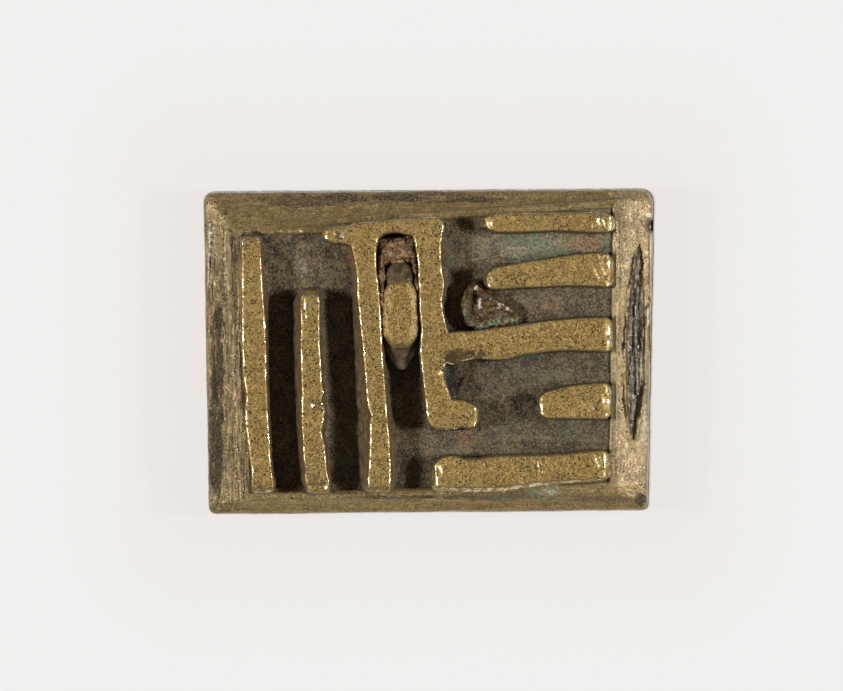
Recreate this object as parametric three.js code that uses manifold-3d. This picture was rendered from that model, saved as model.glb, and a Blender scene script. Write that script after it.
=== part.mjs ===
// Cast brass gold weight: a thick block whose sloping border frames a sunk field, and on the field a
// relief of bars, a figure of two posts with a cross arm, an almond boss and lumps of casting metal.
// Millimetres. X runs along the block, Y across it towards the back edge, Z up from the underside.
import * as THREE from 'three';
import { mergeVertices } from 'three/addons/utils/BufferGeometryUtils.js';
import Module from 'manifold-3d';

const wasm = await Module();
wasm.setup();

// Block
const blockLength = 26.2;
const blockWidth = 18.9;
const frontTaper = 0.34; // each end comes in by this much towards the front edge
const frontRightRise = 0.22; // the front edge comes in by this much at its right end
const backLeftFall = 0.18; // the back edge comes in by this much at its left end
const frontLeftRound = 0.42; // upright corners, each worn to its own radius
const frontRightRound = 0.3;
const backRightRound = 0.78;
const backLeftRound = 0.58;
const ledgeHeight = 2.6; // underside to the ledge that carries the border
const fieldHeight = 4.2; // underside to the sunk field
const footRound = 0.3; // rounded lower edge
const leftLean = 0.05; // how far each side leans inwards from the rounded foot to the border's outer edge
const rightLean = 0.3;
const frontLean = 0.06;
const backLean = 0.16;

// Border, measured from the block's own extents to the corners of the field
const borderLeftAtBack = 2.2;
const borderLeftAtFront = 2.72;
const borderRightAtBack = 2.54;
const borderRightAtFront = 2.89;
const borderBackAtLeft = 2.74;
const borderBackAtRight = 1.3;
const borderFrontAtLeft = 1.36;
const borderFrontAtRight = 1.82;
const borderCrest = 0.2; // inner edge above the field
const borderBand = 0.5; // smooth band along the inner edge
const borderBandFall = 0.06;
const borderFall = 0.56; // inner edge down to the outer edge
const borderRound = 0.42; // rounded outer edge
const fieldCornerRound = 0.16;

// Butt joints of the border strips, each measured along the edge from the block's corner
const backJoint = 2.3;
const rightJoint = 1.78;
const frontJoint = 1.45;
const leftJoint = 1.88;

// Crack and nick in the right border strip
const crackLength = 10.8;
const crackWidth = 1;
const crackDepth = 0.9;
const crackInset = 1.17; // block's end to the middle of the crack
const nickLength = 1;
const nickBite = 0.45;
const nickDepth = 0.7;

// Relief
const reliefHeight = 1.85; // field to the flat tops
const wallDraft = 0.09; // how far a wall spreads from its top to its foot
const edgeRound = 0.26; // rounded top edges
const endRound = 0.42; // rounded ends of the bars, seen from above
const seam = 0.04; // clearance between pieces laid side by side

// Bars on the left of the field
const outerBarWidth = 1.2;
const outerBarGap = 0.12; // border to the outer bar
const innerBarWidth = 1.1;
const innerBarLean = 0.45; // extra spread of its left wall

// Figure: two posts under a lintel, with a cross arm and a foot on the right post
const leftPostWidth = 1.1;
const leftPostLean = 0.5;
const leftPostInnerLean = 0.25;
const rightPostWidth = 1.38;
const lintelDepth = 1;
const spurWidth = 0.75;
const spurHeight = 1.6;
const crossArmWidth = 1.75;
const footWidth = 1.62;

// Rungs that end at the right border
const topRungWidth = 0.93;
const secondRungWidth = 1.85;
const shortRungWidth = 1.9;
const bottomRungWidth = 1.55;

// Almond boss between the posts
const almondGroove = 0.36; // post to the flat of the almond
const almondFlatBack = 1.7; // widest place to the round end of the flat
const almondFlatFront = 1.94; // widest place to the tip of the flat
const almondFootBack = 2.7;
const almondFootFront = 3.3;
const almondShoulder = 0.55; // flat down to the shoulder that fills the gap round it
const almondInset = 5.02; // back edge of the field to the almond's widest place

// Lumps: length, width and height of each
const pocketLumpLength = 2.3;
const pocketLumpWidth = 1.7;
const pocketLumpHeight = 1.25;
const pocketLumpInset = 1.7; // back edge of the field to its middle, between the lintel and the almond
const castingLumpLength = 3.4;
const castingLumpWidth = 2.5;
const castingLumpHeight = 1.3;
const footLumpLength = 1.5;
const footLumpWidth = 1.5;
const footLumpHeight = 0.55;
const rungLumpLength = 1.4;
const rungLumpWidth = 1.2;
const rungLumpHeight = 0.65;
const headLumpLength = 1.7;
const headLumpWidth = 2.2;
const headLumpHeight = 0.4;

const overrun = 1; // how far a cutting body runs past what it cuts

// Facets
const cornerSteps = 4;
const roundSteps = 3;
const endSteps = 3;
const spineSteps = 12;
const moundPoints = 16;
const moundSteps = 4;
const almondSteps = 8;
const crackSteps = 10;
const crackSides = 10;

// Places and swellings, as shares of the field and of the piece's own width
const outerBarSwellShares = [0.88, 1.02, 1.06, 0.98, 0.98, 0.95, 1.02];
const innerBarLineShares = [
  [0.186, 0.752], [0.182, 0.61], [0.184, 0.405], [0.183, 0.23],
  [0.189, 0.08], [0.194, -0.03],
];
const innerBarSwellShares = [0.84, 0.93, 0.98, 0.98, 1.05, 1.04];
const leftPostLineShares = [
  [0.336, 0.868], [0.34, 0.755], [0.352, 0.527], [0.361, 0.338],
  [0.367, 0.187], [0.366, 0.074], [0.363, -0.03],
];
const leftPostSwellShares = [1.4, 1, 1.03, 0.94, 0.9, 0.95, 1.03, 0.96];
const leftPostTopShare = 0.326;
const rightPostLineShares = [
  [0.505, 0.854], [0.509, 0.704], [0.519, 0.573], [0.515, 0.517],
  [0.522, 0.423], [0.527, 0.33], [0.535, 0.235],
];
const rightPostSwellShares = [1.04, 0.93, 0.89, 1.01, 1.06, 1.07, 0.99, 0.95];
const rightPostTopShare = 0.498;
const lintelEndShares = [0.284, 0.372, 0.46, 0.547];
const lintelSwellShares = [0.62, 0.78, 0.94, 1];
const spurLineShares = [[0.3, 0.972], [0.265, 0.963], [0.238, 0.967]];
const spurSwellShares = [1.2, 0.85, 0.5];
const crossArmLineShares = [
  [0.515, 0.53], [0.615, 0.525], [0.696, 0.529], [0.783, 0.542],
  [0.91, 0.548], [1.01, 0.542],
];
const crossArmSwellShares = [1, 0.9, 1, 0.95, 1.03, 1.05];
const footLineShares = [[0.53, 0.278], [0.595, 0.274], [0.64, 0.266]];
const footSwellShares = [1, 0.98, 0.6];
const topRungLineShares = [[0.653, 0.978], [0.7, 0.972], [0.828, 0.965], [0.961, 0.952], [0.995, 0.948]];
const topRungSwellShares = [0.5, 0.92, 0.97, 1.03, 1];
const secondRungLineShares = [[0.657, 0.764], [0.7, 0.769], [0.83, 0.781], [0.964, 0.781], [0.995, 0.775]];
const secondRungSwellShares = [0.42, 0.66, 0.83, 1, 1];
const shortRungLineShares = [[0.8, 0.297], [0.835, 0.299], [0.903, 0.304], [0.995, 0.302]];
const shortRungSwellShares = [0.62, 0.82, 0.96, 1];
const bottomRungLineShares = [
  [0.515, 0.05], [0.546, 0.058], [0.629, 0.052], [0.679, 0.056],
  [0.787, 0.062], [0.895, 0.066], [0.988, 0.07],
];
const bottomRungSwellShares = [0.82, 1.05, 1, 1.12, 0.97, 0.93, 0.94];
const crackPlaceShare = 0.49; // front to back of the block
const crackBellyShare = 0.8; // bends the spindle's belly towards the front
const nickPlaceShare = 0.88;
const roundedRadiusShare = 0.6; // corner radius left where the outer edge is fully rounded
const pocketLumpPlaceShare = 0.419;
const pocketLumpRimShares = [1, 0.9, 1.06, 0.95, 1, 1.08, 0.9, 1.02];
const castingLumpPlaceShares = [0.675, 0.66];
const castingLumpRimShares = [1, 0.92, 0.96, 0.9, 1.02, 0.95, 1, 1.05];
const footLumpPlaceShares = [0.615, 0.385];
const footLumpRimShares = [1, 0.85, 1.1, 0.9, 0.95, 1.05, 0.9, 1];
const rungLumpPlaceShares = [0.742, 0.285];
const rungLumpRimShares = [0.95, 1.1, 0.9, 1, 0.92, 1.05, 1, 0.9];
const headLumpPlaceShares = [0.167, 0.86];
const headLumpRimShares = [0.95, 1.05, 0.9, 1.05, 1, 0.9, 1.02, 0.95];
const moundTopShare = 0.3; // flat left on top of a lump
const tipEdgeShare = 0.3; // rounded edge of a bar against its narrowest place
const endEdgeShare = 0.65; // rounded edge of a bar against the rounding of its ends seen from above
const shortestShare = 0.3; // shortest straight side of an outline against its rounded edge
const endReachShare = 0.3; // rounded end of a short bar against its length
const arcShare = 0.5523; // pull of a cubic curve that follows a quarter circle

const borderEdgeHeight = fieldHeight + borderCrest - borderFall;
const shortestSide = edgeRound * shortestShare; // a shorter side would turn over as the edge rounds inwards
const tallHeight = fieldHeight + reliefHeight + overrun;

// Turns a closed geometry into a solid that can be cut and joined
function toSolid(geometry) {
  const bare = geometry.clone();
  bare.deleteAttribute('normal');
  bare.deleteAttribute('uv');
  const merged = mergeVertices(bare);
  return new wasm.Manifold(new wasm.Mesh({
    numProp: 3,
    vertProperties: merged.attributes.position.array,
    triVerts: new Uint32Array(merged.index.array),
  }));
}

function toGeometry(solid) {
  const mesh = solid.getMesh();
  const geometry = new THREE.BufferGeometry();
  geometry.setAttribute('position', new THREE.BufferAttribute(mesh.vertProperties, mesh.numProp));
  geometry.setIndex(new THREE.BufferAttribute(mesh.triVerts, 1));
  const faceted = geometry.toNonIndexed();
  faceted.computeVertexNormals();
  return faceted;
}

// Solid through a stack of rings with equal point counts; a looped stack closes on its first ring
function loft(rings, looped = false) {
  const count = rings[0].length;
  const index = [];
  const spans = looped ? rings.length : rings.length - 1;
  for (let level = 0; level < spans; level += 1) {
    const low = level * count;
    const high = ((level + 1) % rings.length) * count;
    for (let i = 0; i < count; i += 1) {
      const j = (i + 1) % count;
      index.push(low + i, low + j, high + j, low + i, high + j, high + i);
    }
  }
  if (!looped) {
    const top = (rings.length - 1) * count;
    const flat = (ring) => ring.map((point) => new THREE.Vector2(point.x, point.y));
    for (const [a, b, c] of THREE.ShapeUtils.triangulateShape(flat(rings[0]), [])) {
      index.push(c, b, a);
    }
    for (const [a, b, c] of THREE.ShapeUtils.triangulateShape(flat(rings.at(-1)), [])) {
      index.push(top + a, top + b, top + c);
    }
  }
  const geometry = new THREE.BufferGeometry().setFromPoints(rings.flat());
  geometry.setIndex(index);
  return toSolid(geometry);
}

function atHeight(outline, height) {
  return outline.map((point) => new THREE.Vector3(point.x, point.y, height));
}

// For each point of a counterclockwise outline, how it moves when the sides move out by one unit
function outwardMoves(outline) {
  return outline.map((point, i) => {
    const arriving = point.clone().sub(outline.at(i - 1)).normalize();
    const leaving = outline[(i + 1) % outline.length].clone().sub(point).normalize();
    const first = new THREE.Vector2(arriving.y, -arriving.x);
    const second = new THREE.Vector2(leaving.y, -leaving.x);
    return first.clone().add(second).divideScalar(1 + first.dot(second));
  });
}

function offset(outline, distance) {
  const moves = outwardMoves(outline);
  return outline.map((point, i) => point.clone().addScaledVector(moves[i], distance));
}

// Rounds a corner by a near circular arc that starts and ends a radius away from it
function roundCorner(before, corner, after, radius, steps) {
  const start = before.clone().sub(corner).setLength(radius).add(corner);
  const end = after.clone().sub(corner).setLength(radius).add(corner);
  const startPull = start.clone().lerp(corner, arcShare);
  const endPull = end.clone().lerp(corner, arcShare);
  return new THREE.CubicBezierCurve(start, startPull, endPull, end).getPoints(steps);
}

function roundedQuad(corners, radii) {
  return corners.flatMap((corner, i) => (
    roundCorner(corners.at(i - 1), corner, corners[(i + 1) % corners.length], radii[i], cornerSteps)
  ));
}

// Block outline at a height, with the leans of its four sides, drawn in by a margin
function blockCorners(height, margin) {
  const climbed = Math.max(0, height - footRound) / (borderEdgeHeight - footRound);
  const left = -blockLength / 2 + leftLean * climbed + margin;
  const right = blockLength / 2 - rightLean * climbed - margin;
  const front = -blockWidth / 2 + frontLean * climbed + margin;
  const back = blockWidth / 2 - backLean * climbed - margin;
  return [
    new THREE.Vector2(left + frontTaper, front),
    new THREE.Vector2(right - frontTaper, front + frontRightRise),
    new THREE.Vector2(right, back),
    new THREE.Vector2(left, back - backLeftFall),
  ];
}

function blockRing(height, margin, roundedShare) {
  const kept = 1 - roundedShare * (1 - roundedRadiusShare);
  const worn = [frontLeftRound, frontRightRound, backRightRound, backLeftRound];
  const radii = worn.map((radius) => radius * kept);
  return atHeight(roundedQuad(blockCorners(height, margin), radii), height);
}

// Field corners, counterclockwise from the front left
const fieldCorners = [
  new THREE.Vector2(-blockLength / 2 + borderLeftAtFront, -blockWidth / 2 + borderFrontAtLeft),
  new THREE.Vector2(blockLength / 2 - borderRightAtFront, -blockWidth / 2 + borderFrontAtRight),
  new THREE.Vector2(blockLength / 2 - borderRightAtBack, blockWidth / 2 - borderBackAtRight),
  new THREE.Vector2(-blockLength / 2 + borderLeftAtBack, blockWidth / 2 - borderBackAtLeft),
];

function fieldRing(margin, height) {
  const radii = fieldCorners.map(() => fieldCornerRound);
  return atHeight(roundedQuad(offset(fieldCorners, -margin), radii), height);
}

// Place on the field by its shares from left to right and from front to back
function onField(alongShare, acrossShare) {
  const front = fieldCorners[0].clone().lerp(fieldCorners[1], alongShare);
  const back = fieldCorners[3].clone().lerp(fieldCorners[2], alongShare);
  return front.lerp(back, acrossShare);
}

function fromBack(alongShare, inset) {
  return onField(alongShare, 1).sub(new THREE.Vector2(0, inset));
}

function shareLine(shares) {
  return shares.map(([alongShare, acrossShare]) => onField(alongShare, acrossShare));
}

const fieldPrism = loft([fieldRing(seam, fieldHeight), fieldRing(seam, tallHeight)]);

// Base slab: rounded foot, leaning sides, a ledge for the border and the raised field inside it
function makeBaseSlab() {
  const rings = [];
  for (let step = 0; step <= roundSteps; step += 1) {
    const angle = (step / roundSteps) * (Math.PI / 2);
    const margin = footRound * (1 - Math.sin(angle));
    rings.push(blockRing(footRound * (1 - Math.cos(angle)), margin, 1 - Math.sin(angle)));
  }
  rings.push(blockRing(ledgeHeight, 0, 0));
  const plate = loft(rings);
  const field = loft([fieldRing(0, ledgeHeight - footRound), fieldRing(0, fieldHeight)]);
  return plate.add(field);
}

// Border stock: one closed frame on the ledge, cut into four strips further down
function makeBorderStock() {
  const rings = [
    blockRing(ledgeHeight, 0, 0),
    blockRing(borderEdgeHeight - borderRound, 0, 0),
  ];
  for (let step = 1; step <= roundSteps; step += 1) {
    const angle = (step / roundSteps) * (Math.PI / 2);
    const margin = borderRound * (1 - Math.cos(angle));
    const height = borderEdgeHeight - borderRound * (1 - Math.sin(angle));
    rings.push(blockRing(height, margin, 1 - Math.cos(angle)));
  }
  rings.push(fieldRing(-seam - borderBand, fieldHeight + borderCrest - borderBandFall));
  rings.push(fieldRing(-seam, fieldHeight + borderCrest));
  rings.push(fieldRing(-seam, ledgeHeight));
  return loft(rings, true);
}

// Outer ends of the four butt joints, in the order of the field corners they run to
const [frontLeft, frontRight, backRight, backLeft] = blockCorners(ledgeHeight, 0);
const jointEnds = [
  frontLeft.clone().setX(-blockLength / 2 + frontJoint),
  frontRight.clone().setY(-blockWidth / 2 + rightJoint),
  backRight.clone().setX(blockLength / 2 - backJoint),
  backLeft.clone().setY(blockWidth / 2 - leftJoint),
];

// One strip runs from a joint, round the block's corner that it owns, to the next joint
function makeBorderStrip(stock, startCorner) {
  const endCorner = (startCorner + 1) % fieldCorners.length;
  const start = fieldCorners[startCorner];
  const end = fieldCorners[endCorner];
  const startRun = jointEnds[startCorner].clone().sub(start);
  const endRun = jointEnds[endCorner].clone().sub(end);
  startRun.setLength(startRun.length() + overrun);
  endRun.setLength(endRun.length() + overrun);
  const ownCorner = blockCorners(0, -2 * overrun)[endCorner];
  const plan = [start, start.clone().add(startRun), ownCorner, end.clone().add(endRun), end];
  const startShift = new THREE.Vector2(-startRun.y, startRun.x).setLength(seam / 2);
  const endShift = new THREE.Vector2(endRun.y, -endRun.x).setLength(seam / 2);
  plan[0] = plan[0].clone().add(startShift);
  plan[1].add(startShift);
  plan[3].add(endShift);
  plan[4] = plan[4].clone().add(endShift);
  const prism = loft([atHeight(plan, 0), atHeight(plan, tallHeight)]);
  return stock.intersect(prism);
}

// Crack in the right strip: a pointed spindle laid along the edge and flattened to its depth
function makeCrack() {
  const profile = [];
  for (let step = 0; step <= crackSteps; step += 1) {
    const share = step / crackSteps;
    const radius = step === 0 || step === crackSteps ? 0 : Math.sin(Math.PI * share ** crackBellyShare);
    profile.push(new THREE.Vector2(radius, share - 1 / 2));
  }
  const spindle = new THREE.LatheGeometry(profile, crackSides);
  spindle.scale(crackWidth / 2, crackLength, crackDepth);
  spindle.rotateZ(-Math.atan2(frontTaper, blockWidth));
  const surface = (fieldHeight + borderCrest + borderEdgeHeight) / 2;
  const middle = blockLength / 2 - crackInset - frontTaper / 2;
  spindle.translate(middle, blockWidth * (crackPlaceShare - 1 / 2), surface);
  return toSolid(spindle);
}

function makeNick() {
  const bite = new THREE.SphereGeometry(1, crackSides, crackSteps);
  bite.scale(nickBite, nickLength / 2, nickDepth);
  bite.translate(blockLength / 2 - rightLean, blockWidth * (nickPlaceShare - 1 / 2), borderEdgeHeight);
  return toSolid(bite);
}

// Bar laid along a line, swelling with its shares: its outline with both ends rounded, and its edge
function bar(line, width, swellShares, more = {}) {
  const spine = new THREE.SplineCurve(line);
  const swell = new THREE.SplineCurve(swellShares.map((share, i) => new THREE.Vector2(i, share)));
  const left = [];
  const right = [];
  for (let step = 0; step <= spineSteps; step += 1) {
    const place = step / spineSteps;
    const point = spine.getPoint(place);
    const along = spine.getTangent(place);
    const side = new THREE.Vector2(-along.y, along.x).multiplyScalar(swell.getPoint(place).y * width / 2);
    left.push(point.clone().add(side));
    right.push(point.clone().sub(side));
  }
  const reach = Math.min(endRound, spine.getLength() * endReachShare);
  const [startLeft, startRight, stopLeft, stopRight] = [left[0], right[0], left.at(-1), right.at(-1)];
  const startRadius = endRadius(startLeft, startRight, reach);
  const stopRadius = endRadius(stopLeft, stopRight, reach);
  const between = (side) => side.filter((point) => (
    point.distanceTo(side[0]) > startRadius + shortestSide
    && point.distanceTo(side.at(-1)) > stopRadius + shortestSide
  ));
  const rightSide = between(right);
  const leftSide = between(left).reverse();
  const outline = [
    ...rightSide,
    ...roundCorner(rightSide.at(-1), stopRight, stopLeft, stopRadius, endSteps),
    ...roundCorner(stopRight, stopLeft, leftSide[0], stopRadius, endSteps),
    ...leftSide,
    ...roundCorner(leftSide.at(-1), startLeft, startRight, startRadius, endSteps),
    ...roundCorner(startLeft, startRight, rightSide[0], startRadius, endSteps),
  ];
  const edge = Math.min(edgeRound, width * Math.min(...swellShares) * tipEdgeShare, reach * endEdgeShare);
  return { outline: withoutDoubles(outline), edge, ...more };
}

// Corner radius at an end: a half circle where the straight left between two curves would be too short
function endRadius(leftCorner, rightCorner, reach) {
  const half = leftCorner.distanceTo(rightCorner) / 2;
  return half < reach + shortestSide ? half : reach;
}

// Drops a point that lies on the one before it, as where the two curves of an end meet
function withoutDoubles(outline) {
  return outline.filter((point, i) => point.distanceTo(outline.at(i - 1)) > seam / 4);
}

// Solid standing on the field: drafted walls and rounded top edges; grown moves every wall outwards
function relief(piece, grown = 0) {
  const outline = offset(piece.outline, grown);
  const height = piece.height ?? reliefHeight;
  const moves = outwardMoves(outline);
  const foot = outline.map((point, i) => {
    const spread = point.clone().addScaledVector(moves[i], wallDraft);
    const leftShift = (piece.leftLean ?? 0) * Math.min(0, moves[i].x);
    const rightShift = (piece.rightLean ?? 0) * Math.max(0, moves[i].x);
    spread.x += leftShift + rightShift;
    return spread;
  });
  const rings = [atHeight(foot, fieldHeight)];
  for (let step = 0; step <= roundSteps; step += 1) {
    const angle = (step / roundSteps) * (Math.PI / 2);
    const inset = piece.edge * (1 - Math.cos(angle));
    const drop = piece.edge * (1 - Math.sin(angle));
    rings.push(atHeight(offset(outline, -inset), fieldHeight + height - drop));
  }
  return loft(rings);
}

// Cuts a piece clear of the border and of the pieces that were laid before it
function laid(solid, neighbours = []) {
  let result = solid.intersect(fieldPrism);
  for (const neighbour of neighbours) {
    result = result.subtract(relief(neighbour, seam));
  }
  return result;
}

// Leftmost or rightmost place of an outline at a given distance across the block
function sideAt(outline, y, pick) {
  const crossings = [];
  outline.forEach((point, i) => {
    const next = outline[(i + 1) % outline.length];
    if ((point.y - y) * (next.y - y) <= 0 && point.y !== next.y) {
      crossings.push(point.x + ((y - point.y) / (next.y - point.y)) * (next.x - point.x));
    }
  });
  return pick(...crossings);
}

// Almond seen from above: round at the back, drawn to a tip at the front
function almondOutline(centre, halfWidth, backLength, frontLength) {
  const outline = [];
  for (let step = 0; step < 2 * almondSteps; step += 1) {
    const angle = (step / (2 * almondSteps)) * Math.PI;
    outline.push(new THREE.Vector2(halfWidth * Math.cos(angle), backLength * Math.sin(angle)));
  }
  for (let step = 0; step < 2 * almondSteps; step += 1) {
    const side = step < almondSteps ? -1 : 1;
    const share = step < almondSteps ? step / almondSteps : 2 - step / almondSteps;
    outline.push(new THREE.Vector2(side * halfWidth * (1 - share ** 3), -frontLength * share));
  }
  return outline.map((point) => point.add(centre));
}

function almondRing(centre, halfWidth, backLength, frontLength, inset, height) {
  const outline = almondOutline(centre, halfWidth - inset, backLength - inset, frontLength - inset);
  return atHeight(outline, height);
}

// Lump: an uneven round foot that domes up to a small flat
function makeMound(centre, length, width, height, rimShares) {
  const rim = rimShares.map((share, i) => {
    const angle = (i / rimShares.length) * Math.PI * 2;
    return new THREE.Vector3(share * Math.cos(angle) * length / 2, share * Math.sin(angle) * width / 2, 0);
  });
  const foot = new THREE.CatmullRomCurve3(rim, true).getPoints(moundPoints).slice(0, -1);
  const rings = [];
  for (let step = 0; step <= moundSteps; step += 1) {
    const angle = (step / moundSteps) * Math.acos(moundTopShare);
    const lift = fieldHeight + height * Math.sin(angle) / Math.sin(Math.acos(moundTopShare));
    const narrowing = Math.cos(angle);
    rings.push(foot.map((point) => new THREE.Vector3(
      centre.x + point.x * narrowing,
      centre.y + point.y * narrowing,
      lift,
    )));
  }
  return loft(rings);
}

// Bars, figure and rungs, each an outline with its own height and leans
function outerBar() {
  const line = outerBarSwellShares.map((share, i) => {
    const acrossShare = 1 - i / (outerBarSwellShares.length - 1);
    const shift = new THREE.Vector2(outerBarGap + wallDraft + share * outerBarWidth / 2, 0);
    return onField(0, acrossShare).add(shift);
  });
  return bar(line, outerBarWidth, outerBarSwellShares);
}

function lintelPlace(alongShare, depthShare) {
  return fromBack(alongShare, seam + depthShare * lintelDepth / 2);
}

const lintelLine = lintelEndShares.map((share, i) => lintelPlace(share, lintelSwellShares[i]));
const lintel = bar(lintelLine, lintelDepth, lintelSwellShares);
const leftPostLine = [lintelPlace(leftPostTopShare, 1), ...shareLine(leftPostLineShares)];
const leftPost = bar(leftPostLine, leftPostWidth, leftPostSwellShares, {
  leftLean: leftPostLean,
  rightLean: leftPostInnerLean,
});
const rightPostLine = [lintelPlace(rightPostTopShare, 1), ...shareLine(rightPostLineShares)];
const rightPost = bar(rightPostLine, rightPostWidth, rightPostSwellShares);
const spur = bar(shareLine(spurLineShares), spurWidth, spurSwellShares, { height: spurHeight });
const crossArm = bar(shareLine(crossArmLineShares), crossArmWidth, crossArmSwellShares);
const foot = bar(shareLine(footLineShares), footWidth, footSwellShares);
const innerBar = bar(shareLine(innerBarLineShares), innerBarWidth, innerBarSwellShares, {
  leftLean: innerBarLean,
});
const topRung = bar(shareLine(topRungLineShares), topRungWidth, topRungSwellShares);
const secondRung = bar(shareLine(secondRungLineShares), secondRungWidth, secondRungSwellShares);
const shortRung = bar(shareLine(shortRungLineShares), shortRungWidth, shortRungSwellShares);
const bottomRung = bar(shareLine(bottomRungLineShares), bottomRungWidth, bottomRungSwellShares);

// Almond boss: fills the gap between the posts, less a groove on each side of its flat; grown outwards
function makeAlmond(grown) {
  const y = fromBack(1 / 2, almondInset).y;
  const gapLeft = sideAt(leftPost.outline, y, Math.max);
  const gapRight = sideAt(rightPost.outline, y, Math.min);
  const centre = new THREE.Vector2((gapLeft + gapRight) / 2, y);
  const footHalf = (gapRight - gapLeft) / 2 - seam - wallDraft;
  const flatHalf = (gapRight - gapLeft) / 2 - almondGroove;
  const top = fieldHeight + reliefHeight;
  return loft([
    almondRing(centre, footHalf, almondFootBack, almondFootFront, -grown, fieldHeight),
    almondRing(centre, footHalf, almondFootBack, almondFootFront, -grown, top - almondShoulder),
    almondRing(centre, flatHalf, almondFlatBack, almondFlatFront, -grown, top - edgeRound / 2),
    almondRing(centre, flatHalf, almondFlatBack, almondFlatFront, edgeRound / 2 - grown, top),
  ]);
}

const wornBrass = { color: 0x93794b, roughness: 0.42 };
const borderBrass = { color: 0x80704d, roughness: 0.5 };
const fieldBrass = { color: 0x5c5140, roughness: 0.75 };
const crustBrass = { color: 0x664a33, roughness: 0.85 };

const group = new THREE.Group();

function place(name, solid, finish) {
  const material = new THREE.MeshStandardMaterial({ ...finish, metalness: 0.9 });
  const mesh = new THREE.Mesh(toGeometry(solid), material);
  mesh.name = name;
  group.add(mesh);
}

place('base_slab', makeBaseSlab(), fieldBrass);

const borderStock = makeBorderStock();
place('border_front', makeBorderStrip(borderStock, 0), borderBrass);
const flaws = makeCrack().add(makeNick());
place('border_right', makeBorderStrip(borderStock, 1).subtract(flaws), borderBrass);
place('border_back', makeBorderStrip(borderStock, 2), borderBrass);
place('border_left', makeBorderStrip(borderStock, 3), borderBrass);

place('outer_left_bar', laid(relief(outerBar())), wornBrass);
place('inner_left_bar', laid(relief(innerBar)), wornBrass);
place('lintel', laid(relief(lintel)), wornBrass);
place('left_post', laid(relief(leftPost), [lintel]), wornBrass);
place('right_post', laid(relief(rightPost), [lintel]), wornBrass);
place('lintel_spur', laid(relief(spur), [lintel, leftPost]), wornBrass);
place('cross_arm', laid(relief(crossArm), [rightPost]), wornBrass);
place('post_foot', laid(relief(foot), [rightPost]), wornBrass);
place('top_rung', laid(relief(topRung)), wornBrass);
place('second_rung', laid(relief(secondRung)), wornBrass);
place('short_rung', laid(relief(shortRung)), wornBrass);
place('bottom_rung', laid(relief(bottomRung)), wornBrass);

place('almond_boss', laid(makeAlmond(0), [leftPost, rightPost]), wornBrass);

function makeLump(centre, length, width, height, rimShares, neighbours) {
  return laid(makeMound(centre, length, width, height, rimShares), neighbours);
}

const pocketLump = makeLump(
  fromBack(pocketLumpPlaceShare, pocketLumpInset),
  pocketLumpLength,
  pocketLumpWidth,
  pocketLumpHeight,
  pocketLumpRimShares,
  [lintel, leftPost, rightPost],
);
place('pocket_lump', pocketLump.subtract(makeAlmond(seam)), crustBrass);
const castingLump = makeLump(
  onField(...castingLumpPlaceShares),
  castingLumpLength,
  castingLumpWidth,
  castingLumpHeight,
  castingLumpRimShares,
  [rightPost, crossArm, secondRung],
);
place('casting_lump', castingLump, crustBrass);
const footLump = makeLump(
  onField(...footLumpPlaceShares),
  footLumpLength,
  footLumpWidth,
  footLumpHeight,
  footLumpRimShares,
  [rightPost, foot, crossArm],
);
place('foot_lump', footLump, crustBrass);
const rungLump = makeLump(
  onField(...rungLumpPlaceShares),
  rungLumpLength,
  rungLumpWidth,
  rungLumpHeight,
  rungLumpRimShares,
  [foot, shortRung],
);
place('rung_lump', rungLump, crustBrass);
const headLump = makeLump(
  onField(...headLumpPlaceShares),
  headLumpLength,
  headLumpWidth,
  headLumpHeight,
  headLumpRimShares,
  [innerBar],
);
place('head_lump', headLump, crustBrass);

export default group;
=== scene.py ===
# Cast brass gold weight, seen from straight above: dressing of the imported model
import math

import bmesh
import bpy
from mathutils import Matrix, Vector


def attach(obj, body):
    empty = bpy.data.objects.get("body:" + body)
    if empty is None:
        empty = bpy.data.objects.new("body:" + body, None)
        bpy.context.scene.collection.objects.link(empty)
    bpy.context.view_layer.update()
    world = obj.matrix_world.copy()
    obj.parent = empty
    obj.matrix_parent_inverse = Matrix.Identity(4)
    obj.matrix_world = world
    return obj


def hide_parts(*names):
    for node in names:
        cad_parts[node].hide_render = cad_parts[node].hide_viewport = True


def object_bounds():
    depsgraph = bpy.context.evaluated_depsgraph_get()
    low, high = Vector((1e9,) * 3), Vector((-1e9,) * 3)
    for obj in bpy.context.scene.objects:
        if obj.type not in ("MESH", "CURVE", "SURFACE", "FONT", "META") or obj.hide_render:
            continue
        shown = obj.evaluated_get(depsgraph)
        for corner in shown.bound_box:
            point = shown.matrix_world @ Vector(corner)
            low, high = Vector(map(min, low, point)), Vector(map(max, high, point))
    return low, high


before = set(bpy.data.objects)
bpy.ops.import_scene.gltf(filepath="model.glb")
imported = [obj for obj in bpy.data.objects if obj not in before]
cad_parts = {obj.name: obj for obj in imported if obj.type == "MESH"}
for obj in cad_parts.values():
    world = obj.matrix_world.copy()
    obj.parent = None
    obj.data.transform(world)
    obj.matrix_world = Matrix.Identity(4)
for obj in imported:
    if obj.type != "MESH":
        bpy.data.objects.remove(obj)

cad_low, cad_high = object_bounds()

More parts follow.
